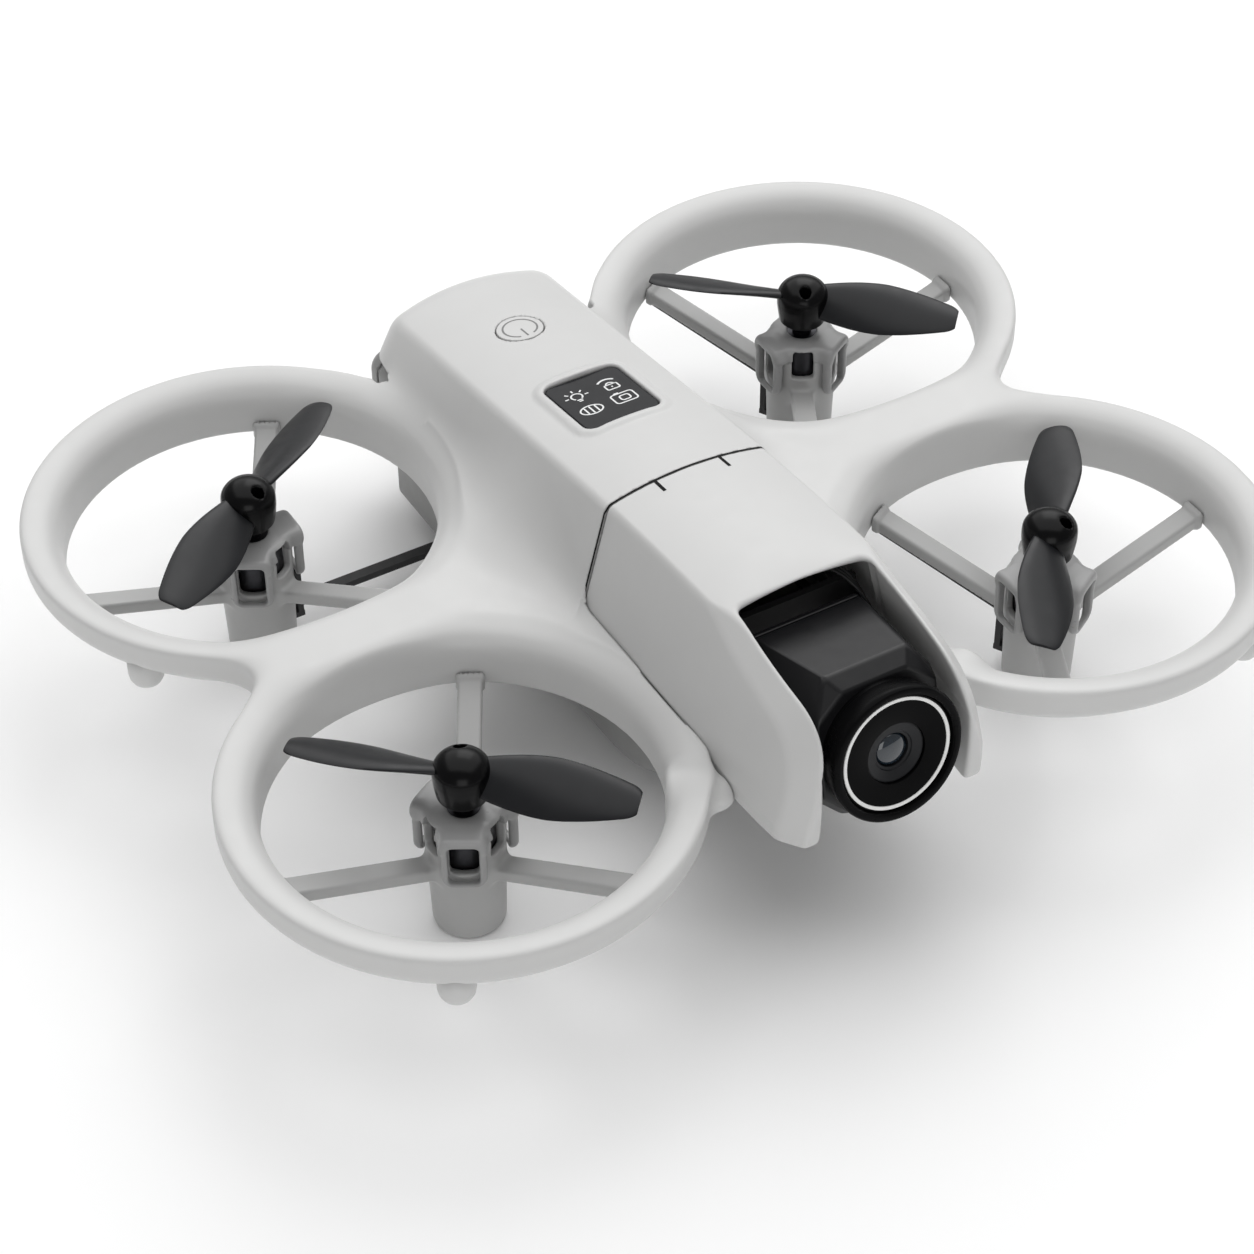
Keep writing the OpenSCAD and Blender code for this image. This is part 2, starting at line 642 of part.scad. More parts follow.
// ---- the whole drone ---------------------------------------------------------
top_cover();
nose_hood();
belly_tray();
saddle(-1);  // saddle_right
saddle(1);  // saddle_left
duct(-1, -1);  // duct_front_right
duct(-1, 1);  // duct_rear_right
duct(1, 1);  // duct_rear_left
duct(1, -1);  // duct_front_left
motor_mount(-1, -1);  // motor_mount_front_right
motor_mount(-1, 1);  // motor_mount_rear_right
motor_mount(1, 1);  // motor_mount_rear_left
motor_mount(1, -1);  // motor_mount_front_left
motor(-1, -1);  // motor_front_right
motor(-1, 1);  // motor_rear_right
motor(1, 1);  // motor_rear_left
motor(1, -1);  // motor_front_left
motor_cap(-1, -1);  // motor_cap_front_right
motor_cap(-1, 1);  // motor_cap_rear_right
motor_cap(1, 1);  // motor_cap_rear_left
motor_cap(1, -1);  // motor_cap_front_left
shaft(-1, -1);  // shaft_front_right
shaft(-1, 1);  // shaft_rear_right
shaft(1, 1);  // shaft_rear_left
shaft(1, -1);  // shaft_front_left
propeller(-1, -1, 1, 136);  // propeller_front_right
propeller(-1, 1, -1, 38);  // propeller_rear_right
propeller(1, 1, 1, 136);  // propeller_rear_left
propeller(1, -1, -1, 52);  // propeller_front_left
leads(-1, -1);  // leads_front_right
leads(-1, 1);  // leads_rear_right
leads(1, 1);  // leads_rear_left
leads(1, -1);  // leads_front_left
duct_pegs();
display_window();
display_module();
power_button();
power_switch();
main_board();
board_screws();
usb_socket();
belly_sensor_window();
battery_case();
battery_cell();
battery_latch();
battery_contacts();
camera_bracket();
camera_housing();
camera_back();
lens_barrel();
lens_trim_ring();
lens_cover_glass();
lens_element();
image_sensor_board();
camera_axle();
tilt_motor();
camera_ribbon();
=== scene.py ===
"""Ducted mini camera drone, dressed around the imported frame.

Shapes are worked out in millimetres from the deck, the plane of the duct lips:
x across, the nose at -y, z up. to_world() places them in the frame in metres.
"""
import json
import math

import bmesh
import bpy
import numpy as np
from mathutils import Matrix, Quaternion, Vector


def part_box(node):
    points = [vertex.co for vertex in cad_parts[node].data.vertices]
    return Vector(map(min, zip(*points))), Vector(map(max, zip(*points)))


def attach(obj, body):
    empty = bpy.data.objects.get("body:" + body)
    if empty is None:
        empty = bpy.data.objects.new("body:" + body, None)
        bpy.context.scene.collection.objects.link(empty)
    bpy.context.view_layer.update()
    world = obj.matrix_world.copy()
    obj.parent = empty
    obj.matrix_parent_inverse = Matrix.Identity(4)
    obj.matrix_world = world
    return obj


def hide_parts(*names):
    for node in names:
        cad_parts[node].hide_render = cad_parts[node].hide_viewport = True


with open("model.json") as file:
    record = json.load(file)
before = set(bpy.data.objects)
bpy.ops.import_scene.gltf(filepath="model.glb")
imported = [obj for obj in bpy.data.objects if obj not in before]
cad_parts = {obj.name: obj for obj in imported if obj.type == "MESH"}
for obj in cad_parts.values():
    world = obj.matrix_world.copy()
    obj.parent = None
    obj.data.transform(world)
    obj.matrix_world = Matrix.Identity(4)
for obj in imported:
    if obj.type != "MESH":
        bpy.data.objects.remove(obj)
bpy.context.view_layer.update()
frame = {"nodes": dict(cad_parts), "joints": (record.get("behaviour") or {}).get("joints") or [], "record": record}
nodes = frame["nodes"]

MM = 0.001
CORNERS = {
    "front_right": (-1, -1),
    "rear_right": (-1, 1),
    "rear_left": (1, 1),
    "front_left": (1, -1),
}


# ---- places, read from the frame -------------------------------------------
def middle(node):
    low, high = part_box(node)
    return (low + high) / 2 / MM


PODS = {c: middle("shaft_" + c) for c in CORNERS}
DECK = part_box("duct_front_right")[1].z / MM
SHIFT = sum(p.y for p in PODS.values()) / 4
TRACK = PODS["front_left"].x
BASE = PODS["rear_left"].y - SHIFT
TILT = next(Vector(j["pos_m"]) / MM for j in frame["joints"] if j["name"] == "camera_tilt")
CAM_Y, CAM_Z = TILT.y - SHIFT, TILT.z - DECK

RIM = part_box("duct_front_left")[1].x / MM - TRACK  # outer radius of a duct
BORE = RIM - 6.2
LIP_W, LIP_H, DUCT_H, WALL_H = 6.2, 5.1, 9.2, 4.5
BODY_HW, RIDGE_HW, CROWN = 17.1, 12.9, 1.8
SKIN = 1.4
SEAM_Y, SEAM_W = -11.0, 0.34
FORK_Y = -40.7


def to_world(points):
    return (np.asarray(points, float) + (0, SHIFT, DECK)) * MM


# ---- fields: negative inside, in millimetres ---------------------------------
def smin(a, b, k):
    h = np.maximum(k - np.abs(a - b), 0) / k
    return np.minimum(a, b) - h * h * k / 4


def smax(a, b, k):
    return -smin(-a, -b, k)


def smooth(t):
    t = np.clip(t, 0, 1)
    return t * t * (3 - 2 * t)


def ridge(y):
    """Height of the two ridges along the top of the body."""
    return smin(15.55 - 0.15 * (y + 11), 18.0 - 0.02 * (y + 41), 3)


def side_x(y, z):
    """Half the body's width at a height."""
    return BODY_HW - (BODY_HW - RIDGE_HW) * np.maximum(z + 0.5, -1) / (ridge(y) + 0.5)


def box2(u, v, hu, hv, r):
    """Distance to a rectangle with rounded corners."""
    a, b = np.abs(u) - hu + r, np.abs(v) - hv + r
    return np.hypot(np.maximum(a, 0), np.maximum(b, 0)) + np.minimum(np.maximum(a, b), 0) - r


SCREEN_Y = middle("display_window").y - SHIFT
SCREEN_HW, SCREEN_HL, SCREEN_R = 6.1, 7.0, 1.5
FRAME_W, FRAME_H = 2.1, 0.42


def top_z(x, y):
    """Height of the crowned top, with the soft frame round the display."""
    z = ridge(y) + CROWN * (1 - (x / RIDGE_HW) ** 2)
    d = box2(x, y - SCREEN_Y, SCREEN_HW, SCREEN_HL, SCREEN_R)
    return z + FRAME_H * smooth((FRAME_W - d) / (FRAME_W * 0.62))


def arch(x, y, z, inset=0.0):
    """The body's sides and top."""
    lean = (BODY_HW - RIDGE_HW) / (ridge(y) + 0.5)
    sides = (x - side_x(y, z)) / np.sqrt(1 + lean * lean) + inset
    top = (z - top_z(x, y) + inset) * 0.985
    return smax(sides, top, 0.9)


def tail(x, y, z, inset=0.0):
    """The rear end, bowed in plan."""
    return y - 55.3 - 2.4 * (1 - (x / BODY_HW) ** 2) - 0.03 * z + inset


def duct(x, y, z, sy):
    """A duct: a quarter-ellipse lip over an inner wall, with a sloping underside."""
    q = np.hypot(x - TRACK, y - sy * BASE)
    u = np.maximum(RIM - q, 0) / LIP_W
    w = np.maximum(z + LIP_H, 0) / LIP_H
    k0 = np.sqrt(u * u + w * w) + 1e-6
    k1 = np.sqrt((u / LIP_W) ** 2 + (w / LIP_H) ** 2) + 1e-6
    lip = k0 * (k0 - 1) / k1
    body = smax(lip, q - RIM, 0.9)
    slope = (q - RIM) * 0.714 - (z + WALL_H) * 0.699
    body = smax(body, slope, 0.8)
    return smax(body, -DUCT_H - z, 0.5)


def bores(x, y):
    front = BORE - np.hypot(x - TRACK, y + BASE)
    rear = BORE - np.hypot(x - TRACK, y - BASE)
    return np.maximum(front, rear)


def capsule(x, y, z, a, b, r0, r1):
    """A bar with round ends that tapers from r0 at a to r1 at b."""
    a, b = np.array(a, float), np.array(b, float)
    ab = b - a
    t = ((x - a[0]) * ab[0] + (y - a[1]) * ab[1] + (z - a[2]) * ab[2]) / (ab @ ab)
    t = np.clip(t, 0, 1)
    across = [(x, y, z)[i] - a[i] - t * ab[i] for i in range(3)]
    d = np.sqrt(across[0] ** 2 + across[1] ** 2 + across[2] ** 2)
    return d - r0 - (r1 - r0) * t


BUTTON_Y, BUTTON_R, BUTTON_GAP = 37.0, 3.7, 0.15
LUG_ROOT, LUG_TIP = (26, -45.5, -3.0), (18.4, -50.4, -3.7)  # the ears that reach the hood
WALL_HW = 16.95  # inside of the walls beside the belly


def shell_field(x, y, z):
    """Rear cover, saddles and ducts: one moulding."""
    x = np.abs(x)
    rings = smin(duct(x, y, z, -1), duct(x, y, z, 1), 12)
    qf = np.hypot(x - TRACK, y + BASE)
    qr = np.hypot(x - TRACK, y - BASE)
    soft = 0.2 + 1.2 * smooth((x - 19) / 7)  # the rounding of edges, less by the body
    web = np.maximum(smax(RIM - 0.6 - np.minimum(qf, qr), x - TRACK, 1.5), np.abs(y) - BASE)
    web = np.maximum(smax(web, z, soft), -7 - z)
    rings = smax(smin(rings, web, 2.5), z, soft)
    lug = capsule(x, y, z, LUG_ROOT, LUG_TIP, 2.8, 2.1)
    rings = smin(rings, lug, 3)
    blend = 3.2 + 8 * np.exp(-(((y - 9) / 13) ** 2))
    cover = smax(arch(x, y, z), tail(x, y, z), 5)
    cover = np.maximum(smax(cover, -7 - z, 1), SEAM_Y - y)
    d = smin(rings, cover, blend)
    d = smax(d, bores(x, y), 1.2)
    # hollow for the works and for the belly
    hollow = smax(arch(x, y, z, SKIN), tail(x, y, z, SKIN), 5)
    hollow = np.maximum(hollow, -z)
    belly = x - WALL_HW - 2 * smooth((y - 46.5) / 2)
    hollow = np.minimum(hollow, np.maximum(np.maximum(belly, y - 59), z - 0.2))
    d = smax(d, -hollow, 0.4)
    # room for the hood
    hood = np.maximum(hood_solid(x, y, z) - 0.13, y - SEAM_Y)
    d = smax(d, -hood, 0.25)
    d = smax(d, SCREEN_HOLE - box2(x, y - SCREEN_Y, SCREEN_HW, SCREEN_HL, SCREEN_R), 0.5)
    button = np.maximum(np.hypot(x, y - BUTTON_Y) - BUTTON_R, 3 - z)
    d = np.maximum(d, -button)
    usb = np.maximum(box2(x, z - USB_Z, 4.8, 1.9, 1.8), 50 - y)
    return smax(d, -usb, 0.3)


SCREEN_HOLE = 0.12
USB_Z = middle("usb_socket").z - DECK + 0.6


def silhouette(y, z):
    """Side view of the nose: a top that falls 1 in 5 and a bowed front."""
    top = (z - 17.95 - 0.2 * (y + 44.4)) * 0.98
    front = -64.9 + 0.0095 * (z - 2) ** 2 - y
    return smax(top, front, 6)


def hood_low(y):
    """The hood's lower edge, which drops to the tips of the cheeks."""
    return -1.4 - 3.3 * smooth((-41 - y) / 10)


def cheek_x(y, z):
    """The body's side, drawn in towards the nose."""
    return side_x(y, z) - 0.004 * np.maximum(-46 - y, 0) ** 2


def cheek_inner(y, z):
    """The inner faces of the hood's two cheeks."""
    return np.minimum(cheek_x(y, z) - 2.6, 12.9 - 0.1 * np.maximum(-50 - y, 0))


def hood_solid(x, y, z):
    """Outside of the nose hood, filled."""
    edge = silhouette(y, z)
    side = x - cheek_x(y, z)
    d = smax(smax(arch(x, y, z), side, 0.9), edge, 0.9)
    # a facet along the rim, as deep as bevel at the very edge
    bevel = 2.1 * smooth((-26 - y) / 22)
    lean = 0.6
    chamfer = (side + bevel + lean * edge) / math.hypot(1, lean)
    d = smax(d, chamfer, 0.45)
    return smax(d, hood_low(y) - z, 1.2)


def hood_field(x, y, z):
    """The nose hood with its forked cheeks round the camera."""
    x = np.abs(x)
    d = hood_solid(x, y, z)
    wall = np.minimum(cheek_x(y, z) - SKIN, cheek_inner(y, z) + np.maximum(y - FORK_Y, 0))
    inside = np.maximum(np.maximum(x - wall, z - top_z(x, y) + SKIN), FORK_Y - 1.5 - y)
    d = smax(d, -inside, 0.5)
    fork = smax(x - cheek_inner(y, z), y - FORK_Y, 1.6)
    d = smax(d, -fork, 0.8)
    return smax(d, y - SEAM_Y + SEAM_W, 0.25)


# ---- meshes --------------------------------------------------------------------
EDGES = [(a, a | bit) for bit in (1, 2, 4) for a in range(8) if not a & bit]


def skin(field, low, high, step, mirrored=False):
    """Vertices, quads and normals where a field is zero. mirrored: field(x) = field(-x)."""
    axes = [np.arange(l, h + step, step) for l, h in zip(low, high)]
    if mirrored:
        axes[0] = np.arange(0, high[0] + step, step)
    grids = np.meshgrid(*axes, indexing="ij", sparse=True)
    values = np.concatenate(
        [
            np.broadcast_to(field(part, grids[1], grids[2]), (len(part), len(axes[1]), len(axes[2])))
            for part in np.array_split(grids[0], max(1, len(axes[0]) // 24))
        ]
    )
    if mirrored:
        values = np.concatenate([values[:0:-1], values])
        axes[0] = np.concatenate([-axes[0][:0:-1], axes[0]])
    inside = values < 0
    n = np.array(values.shape)

    def corner(c):
        return tuple(slice(c >> i & 1, n[i] - 1 + (c >> i & 1)) for i in range(3))

    count = sum(inside[corner(c)].astype(np.int8) for c in range(8))
    cells = np.argwhere((count > 0) & (count < 8))
    index = np.full(n - 1, -1)
    index[tuple(cells.T)] = np.arange(len(cells))
    at = [values[tuple((cells + [c >> i & 1 for i in range(3)]).T)] for c in range(8)]
    total, hits = np.zeros((len(cells), 3)), np.zeros(len(cells))
    for a, b in EDGES:
        cross = (at[a] < 0) != (at[b] < 0)
        t = np.where(cross, at[a] / np.where(cross, at[a] - at[b], 1), 0)
        pa = np.array([a >> i & 1 for i in range(3)], float)
        pb = np.array([b >> i & 1 for i in range(3)], float)
        total += np.where(cross[:, None], pa + t[:, None] * (pb - pa), 0)
        hits += cross
    origin = np.array([a[0] for a in axes])
    points = (cells + total / hits[:, None]) * step + origin
    quads = []
    for axis in range(3):
        u, v = (axis + 1) % 3, (axis + 2) % 3
        lo, hi = [slice(1, -1)] * 3, [slice(1, -1)] * 3
        lo[axis], hi[axis] = slice(0, -1), slice(1, None)
        first, second = inside[tuple(lo)], inside[tuple(hi)]
        for flip in (False, True):
            where = np.argwhere((first & ~second) if flip else (~first & second))
            where[:, u] += 1
            where[:, v] += 1
            ring = []
            for du, dv in ((-1, -1), (0, -1), (0, 0), (-1, 0)):
                c = where.copy()
                c[:, u] += du
                c[:, v] += dv
                ring.append(index[tuple(c.T)])
            ring = np.stack(ring, 1)
            quads.append(ring if flip else ring[:, ::-1])
    quads = np.concatenate(quads)
    for _ in range(3):
        points = settle(field, (points + spread(points, quads)) / 2, step)
    points = settle(field, points, step)
    normal = probe(field, points)[1]
    return points, quads, normal / np.maximum(np.linalg.norm(normal, axis=1), 1e-9)[:, None]


def spread(points, quads):
    """The mean of each vertex's neighbours."""
    a = np.concatenate([quads.ravel(), np.roll(quads, 1, 1).ravel()])
    b = np.concatenate([np.roll(quads, 1, 1).ravel(), quads.ravel()])
    count = np.bincount(a, minlength=len(points))
    return np.stack([np.bincount(a, points[b, i], len(points)) / count for i in range(3)], 1)


def settle(field, points, step):
    """Moves points onto the surface along the field's slope."""
    for _ in range(2):
        value, slope = probe(field, points)
        reach = value / np.maximum((slope**2).sum(1), 0.2)
        points = points - np.clip(reach, -step / 2, step / 2)[:, None] * slope
    return points


def probe(field, p, h=0.04):
    """The field and its slope at some points."""
    x, y, z = p.T
    slope = np.stack(
        [
            field(x + h, y, z) - field(x - h, y, z),
            field(x, y + h, z) - field(x, y - h, z),
            field(x, y, z + h) - field(x, y, z - h),
        ],
        1,
    )
    return field(x, y, z), slope / (2 * h)


def make_piece(name, points, faces, normals=None):
    """A mesh object from arrays of points and equal faces."""
    points = to_world(points)
    faces = np.asarray(faces)
    sides = faces.shape[1]
    mesh = bpy.data.meshes.new(name)
    mesh.vertices.add(len(points))
    mesh.vertices.foreach_set("co", points.astype(np.float32).ravel())
    mesh.loops.add(faces.size)
    mesh.loops.foreach_set("vertex_index", faces.astype(np.int32).ravel())
    mesh.polygons.add(len(faces))
    mesh.polygons.foreach_set("loop_start", np.arange(0, faces.size, sides, dtype=np.int32))
    mesh.polygons.foreach_set("use_smooth", np.full(len(faces), True))
    mesh.update(calc_edges=True)
    mesh.validate()
    if normals is not None and len(mesh.vertices) == len(normals):
        mesh.normals_split_custom_set_from_vertices(normals.astype(np.float32))
    piece = bpy.data.objects.new(name, mesh)
    bpy.context.scene.collection.objects.link(piece)
    return piece


def finish_piece(piece, body, slot, material, *replaced):
    piece.data.materials.clear()
    piece.data.materials.append(material)
    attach(piece, body)
    if replaced:
        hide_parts(*replaced)
    return piece


def skinned(name, field, low, high, step, *labels, mirrored=False):
    """A piece from a field in a box. labels: body, slot (not used), material and the nodes it replaces."""
    return finish_piece(make_piece(name, *skin(field, low, high, step, mirrored)), *labels)


# ---- materials -------------------------------------------------------------------
def node_material(name):
    material = bpy.data.materials.new(name)
    material.use_nodes = True
    tree = material.node_tree
    shader = tree.nodes["Principled BSDF"]
    return material, tree, shader


def noise(tree, scale, detail=3.0, roughness=0.55, distortion=0.0):
    """A noise in object space; scale is in waves per metre."""
    coords = tree.nodes.new("ShaderNodeTexCoord")
    texture = tree.nodes.new("ShaderNodeTexNoise")
    texture.inputs["Scale"].default_value = scale
    texture.inputs["Detail"].default_value = detail
    texture.inputs["Roughness"].default_value = roughness
    texture.inputs["Distortion"].default_value = distortion
    tree.links.new(coords.outputs["Object"], texture.inputs["Vector"])
    return texture.outputs["Fac"]


def ramp(tree, value, low, high):
    """value from 0.3 to 0.7 spread over two numbers."""
    spread = tree.nodes.new("ShaderNodeMapRange")
    spread.inputs["From Min"].default_value = 0.3
    spread.inputs["From Max"].default_value = 0.7
    spread.inputs["To Min"].default_value = low
    spread.inputs["To Max"].default_value = high
    tree.links.new(value, spread.inputs["Value"])
    return spread.outputs["Result"]


def mix_colour(tree, factor, a, b):
    mix = tree.nodes.new("ShaderNodeMix")
    mix.data_type = "RGBA"
    mix.inputs["A"].default_value = (*a, 1)
    mix.inputs["B"].default_value = (*b, 1)
    tree.links.new(factor, mix.inputs["Factor"])
    return mix.outputs["Result"]


def bump(tree, shader, height, strength, distance):
    node = tree.nodes.new("ShaderNodeBump")
    node.inputs["Strength"].default_value = strength
    node.inputs["Distance"].default_value = distance
    tree.links.new(height, node.inputs["Height"])
    tree.links.new(node.outputs["Normal"], shader.inputs["Normal"])


def plastic(name, colour, rough, spread=0.05, tint=0.03, grain=2600, relief=0.12, specular=0.5):
    """Moulded plastic: cloudy colour, uneven gloss and a fine spark-eroded grain."""
    material, tree, shader = node_material(name)
    dark = tuple(c * (1 - tint) for c in colour)
    light = tuple(min(1, c * (1 + tint)) for c in colour)
    cloud = ramp(tree, noise(tree, 60, 4), 0, 1)
    tree.links.new(mix_colour(tree, cloud, dark, light), shader.inputs["Base Color"])
    gloss = ramp(tree, noise(tree, 420, 5, 0.6), rough - spread, rough + spread)
    tree.links.new(gloss, shader.inputs["Roughness"])
    shader.inputs["Specular IOR Level"].default_value = specular
    bump(tree, shader, noise(tree, grain, 2, 0.5), relief, 0.00002)
    return material


def metal(name, colour, rough, grain=900):
    """Bare metal, with a clouded colour and gloss."""
    material, tree, shader = node_material(name)
    shader.inputs["Metallic"].default_value = 1
    cloud = ramp(tree, noise(tree, grain, 4), 0, 1)
    dark = tuple(c * 0.86 for c in colour)
    tree.links.new(mix_colour(tree, cloud, dark, colour), shader.inputs["Base Color"])
    gloss = ramp(tree, noise(tree, grain * 2, 3), rough * 0.8, rough * 1.25)
    tree.links.new(gloss, shader.inputs["Roughness"])
    return material


def glass_black(name, colour, rough=0.04, coat=0.12, specular=0.15):
    """Dark polished glass over a black print."""
    material, tree, shader = node_material(name)
    smear = ramp(tree, noise(tree, 260, 5, 0.65), 0, 1)
    lighter = tuple(c * 1.25 + 0.001 for c in colour)
    tree.links.new(mix_colour(tree, smear, colour, lighter), shader.inputs["Base Color"])
    tree.links.new(ramp(tree, noise(tree, 900, 4), rough * 0.7, rough * 1.6), shader.inputs["Roughness"])
    shader.inputs["Specular IOR Level"].default_value = specular
    shader.inputs["Coat Weight"].default_value = coat
    shader.inputs["Coat Roughness"].default_value = 0.03
    return material


SHELL = plastic("shell_white", (0.58, 0.58, 0.575), 0.4, tint=0.015)
# Belly and battery: grey plastic, darkened further as painted shade for the shade under the body.
BELLY_PAINTED_SHADE = plastic("belly_grey_painted_shade", (0.26, 0.26, 0.257), 0.45, tint=0.03)
POD = plastic("pod_grey", (0.38, 0.38, 0.377), 0.4, tint=0.03)
CAP = plastic("cap_grey", (0.3, 0.3, 0.3), 0.32, tint=0.04)
ICON = plastic("icon_white", (0.75, 0.76, 0.76), 0.4)
MARK = plastic("mark_grey", (0.16, 0.16, 0.16), 0.4)
PROP = plastic(
    "prop_black", (0.009, 0.0094, 0.011), 0.34, tint=0.12, grain=3200, relief=0.1, specular=0.28
)
CONE = plastic("lens_cone", (0.011, 0.0115, 0.013), 0.4, tint=0.1, specular=0.2)
HUB = plastic(
    "hub_black", (0.0015, 0.0015, 0.0018), 0.24, spread=0.03, tint=0.1, relief=0.03, specular=0.16
)
CAMERA = plastic("camera_black", (0.008, 0.008, 0.009), 0.34, tint=0.1, relief=0.16, specular=0.3)
BARREL = plastic("barrel_black", (0.003, 0.003, 0.0033), 0.3, tint=0.1, specular=0.05)
DARK = plastic("inner_black", (0.02, 0.02, 0.021), 0.5, tint=0.1)
# Painted shade: the dark lines over the seam's gap and the hood's notches.
LINE_PAINTED_SHADE = plastic("painted_line_shade", (0.006, 0.006, 0.006), 0.6, tint=0.1, specular=0.1)
LEAD = plastic("lead_black", (0.012, 0.012, 0.013), 0.55, tint=0.15, grain=1500, relief=0.25)
BOARD = plastic("board_green", (0.012, 0.09, 0.045), 0.4, tint=0.15)
CAN = metal("motor_can", (0.05, 0.05, 0.055), 0.35)
STEEL = metal("steel", (0.6, 0.6, 0.62), 0.28)
BRASS = metal("contact_gold", (0.83, 0.6, 0.22), 0.3)
FOIL = metal("cell_foil", (0.72, 0.73, 0.75), 0.34, grain=200)
WINDOW = glass_black("window_black", (0.012, 0.0125, 0.014), 0.12, coat=0.06, specular=0.1)
GLASS = glass_black("lens_black", (0.0008, 0.0008, 0.001), coat=0.02, specular=0.04)
LENS = glass_black("lens_coated", (0.006, 0.012, 0.019), 0.06, coat=0.8, specular=0.5)
TRIM = plastic("trim_white", (0.86, 0.86, 0.85), 0.35, tint=0.01)

MATERIAL_OF = {
    "shell_white": SHELL,
    "belly_grey": BELLY_PAINTED_SHADE,
    "pod_grey": POD,
    "motor_metal": CAN,
    "shaft_steel": STEEL,
    "propeller_black": PROP,
    "lead_black": LEAD,
    "display_glass": WINDOW,
    "display_frame": DARK,
    "camera_black": CAMERA,
    "trim_white": TRIM,
    "cover_glass": GLASS,
    "lens_coated": LENS,
    "board_green": BOARD,
    "cell_foil": FOIL,
    "contact_brass": BRASS,
}
for part in frame["record"]["subparts"]:
    node = nodes[part["node"]]
    node.data.materials.clear()
    node.data.materials.append(MATERIAL_OF[part["material_slot"]])

# ---- shell and hood ------------------------------------------------------------
skinned(
    "duct_shell", shell_field, (0, -70, -11), (83, 68, 20), 0.43,
    "frame", "shell_white", SHELL,
    "top_cover", "saddle_right", "saddle_left",
    *("duct_" + c for c in CORNERS),
    mirrored=True,
)
skinned(
    "hood", hood_field, (0, -66, -10), (20, -9, 21), 0.27,
    "frame", "shell_white", SHELL, "nose_hood", mirrored=True,
)


def outline(x, y, z):
    return arch(np.abs(x), y, z)


def shade_line(name, xz, y0, y1):
    """Painted shade: a dark line laid on the body where shade falls in the seam's gap and in the hood's notches;
    points across the arch, from y0 to y1.
    """
    xz = np.array(xz, float)
    rows = []
    for y in (y0, y1):
        points = np.stack([xz[:, 0], np.full(len(xz), y), xz[:, 1]], 1)
        points = settle(outline, settle(outline, points, 2), 2)
        points[:, 1] = y
        rows.append(points + 0.02 * probe(outline, points)[1])
    n = len(xz)
    quads = [(i, i + 1, n + i + 1, n + i) for i in range(n - 1)]
    finish_piece(make_piece(name, np.concatenate(rows), quads), "frame", "display_frame", LINE_PAINTED_SHADE)


seam_top = float(ridge(SEAM_Y))
side_run = [(side_x(SEAM_Y, z), z) for z in np.linspace(0.2, seam_top - 1, 24)]
top_run = [(x, seam_top + CROWN * (1 - (x / RIDGE_HW) ** 2)) for x in np.linspace(RIDGE_HW - 0.5, 0, 24)]
half_run = [(float(x), float(z)) for x, z in side_run + top_run]
whole_run = half_run + [(-x, z) for x, z in half_run[-2::-1]]
# A dark line of painted shade over the seam's gap, for the shade inside it.
shade_line("seam_shade_line", whole_run, SEAM_Y - SEAM_W - 0.02, SEAM_Y + 0.03)
# The hood's notches are not cut: each is a dark line of painted shade.
for side in (-1, 1):
    run = [(side * (5.2 + dx), seam_top + 1.6) for dx in (-0.26, 0, 0.26)]
    shade_line(f"hood_notch_shade_{'right' if side < 0 else 'left'}", run, -14.2, SEAM_Y - 0.1)


# ---- belly, battery and latch -----------------------------------------------------
BELLY_HW, BELLY_LOW, BELLY_TOP = 16.7, -24.4, -0.1
BAY_HW, BAY_TOP, BAY_LOW, BAY_FRONT = 14.2, -3.4, -22.4, -4.0
TRAY_REAR, PACK_REAR = 48.0, 56.5


def belly_outside(x, y, z):
    """The belly's outer form, with its rounded front."""
    nose = np.hypot(np.maximum(-12 - y, 0) / 24, np.maximum(-8 - z, 0) / 16.4)
    d = smax((nose - 1) * 17, x - BELLY_HW, 2.5)
    d = smax(d, BELLY_LOW - z, 3.5)
    return smax(d, np.maximum(-36 - y, z - BELLY_TOP), 1)


def belly_field(x, y, z):
    """The belly with its battery bay, open to the tail."""
    x = np.abs(x)
    d = smax(belly_outside(x, y, z), y - TRAY_REAR, 0.4)
    seam = np.maximum(np.abs(y + 3) - 0.16, -0.4 - d)
    d = smax(d, -seam, 0.1)
    bay = np.maximum(np.maximum(x - BAY_HW, BAY_FRONT - y), np.maximum(z - BAY_TOP, BAY_LOW - z))
    works = np.maximum(np.maximum(x - 15.2, np.abs(y - 5.9) - 40.5), BAY_TOP + 1.2 - z)
    front = np.maximum(np.maximum(x - 13, np.abs(y + 19) - 13), -15 - z)
    return smax(d, -np.minimum(np.minimum(bay, works), front), 0.3)


def battery_field(x, y, z):
    """The pack and its end block, which closes the tail."""
    x = np.abs(x)
    pack = np.maximum(box2(x, z + 12.9, BAY_HW - 0.3, 9.2, 1), np.maximum(-3.6 - y, y - 50))
    block = smax(box2(x, z + 10, BELLY_HW - 0.3, 9.5, 3), y - PACK_REAR, 1.6)
    block = smax(block, TRAY_REAR + 0.3 - y, 0.4)
    groove = np.maximum(np.abs(y - 53.4) - 0.2, -0.35 - block)
    block = smax(block, -groove, 0.15)
    d = np.minimum(pack, block)
    pocket = np.maximum(box2(x, z + 13, 6.3, 2.8, 1.5), 51.5 - y)
    return smax(d, -pocket, 0.5)


def latch_field(x, y, z):
    """The latch's button, ribbed for the thumb."""
    ribs = 0.22 * np.cos(x * 2 * math.pi / 1.5) * smooth((4.6 - np.abs(x)) / 0.6)
    d = box2(x, z + 13, 6, 2.5, 1.3)
    d = smax(d, y - 56.45 - ribs, 0.5)
    return np.maximum(d, 53.8 - y)


def button_field(x, y, z):
    """The power button, flush with the crowned top."""
    d = np.maximum(np.hypot(x, y - BUTTON_Y) - BUTTON_R + BUTTON_GAP, z - top_z(x, y))
    return np.maximum(d, top_z(x, y) - 1.5 - z)


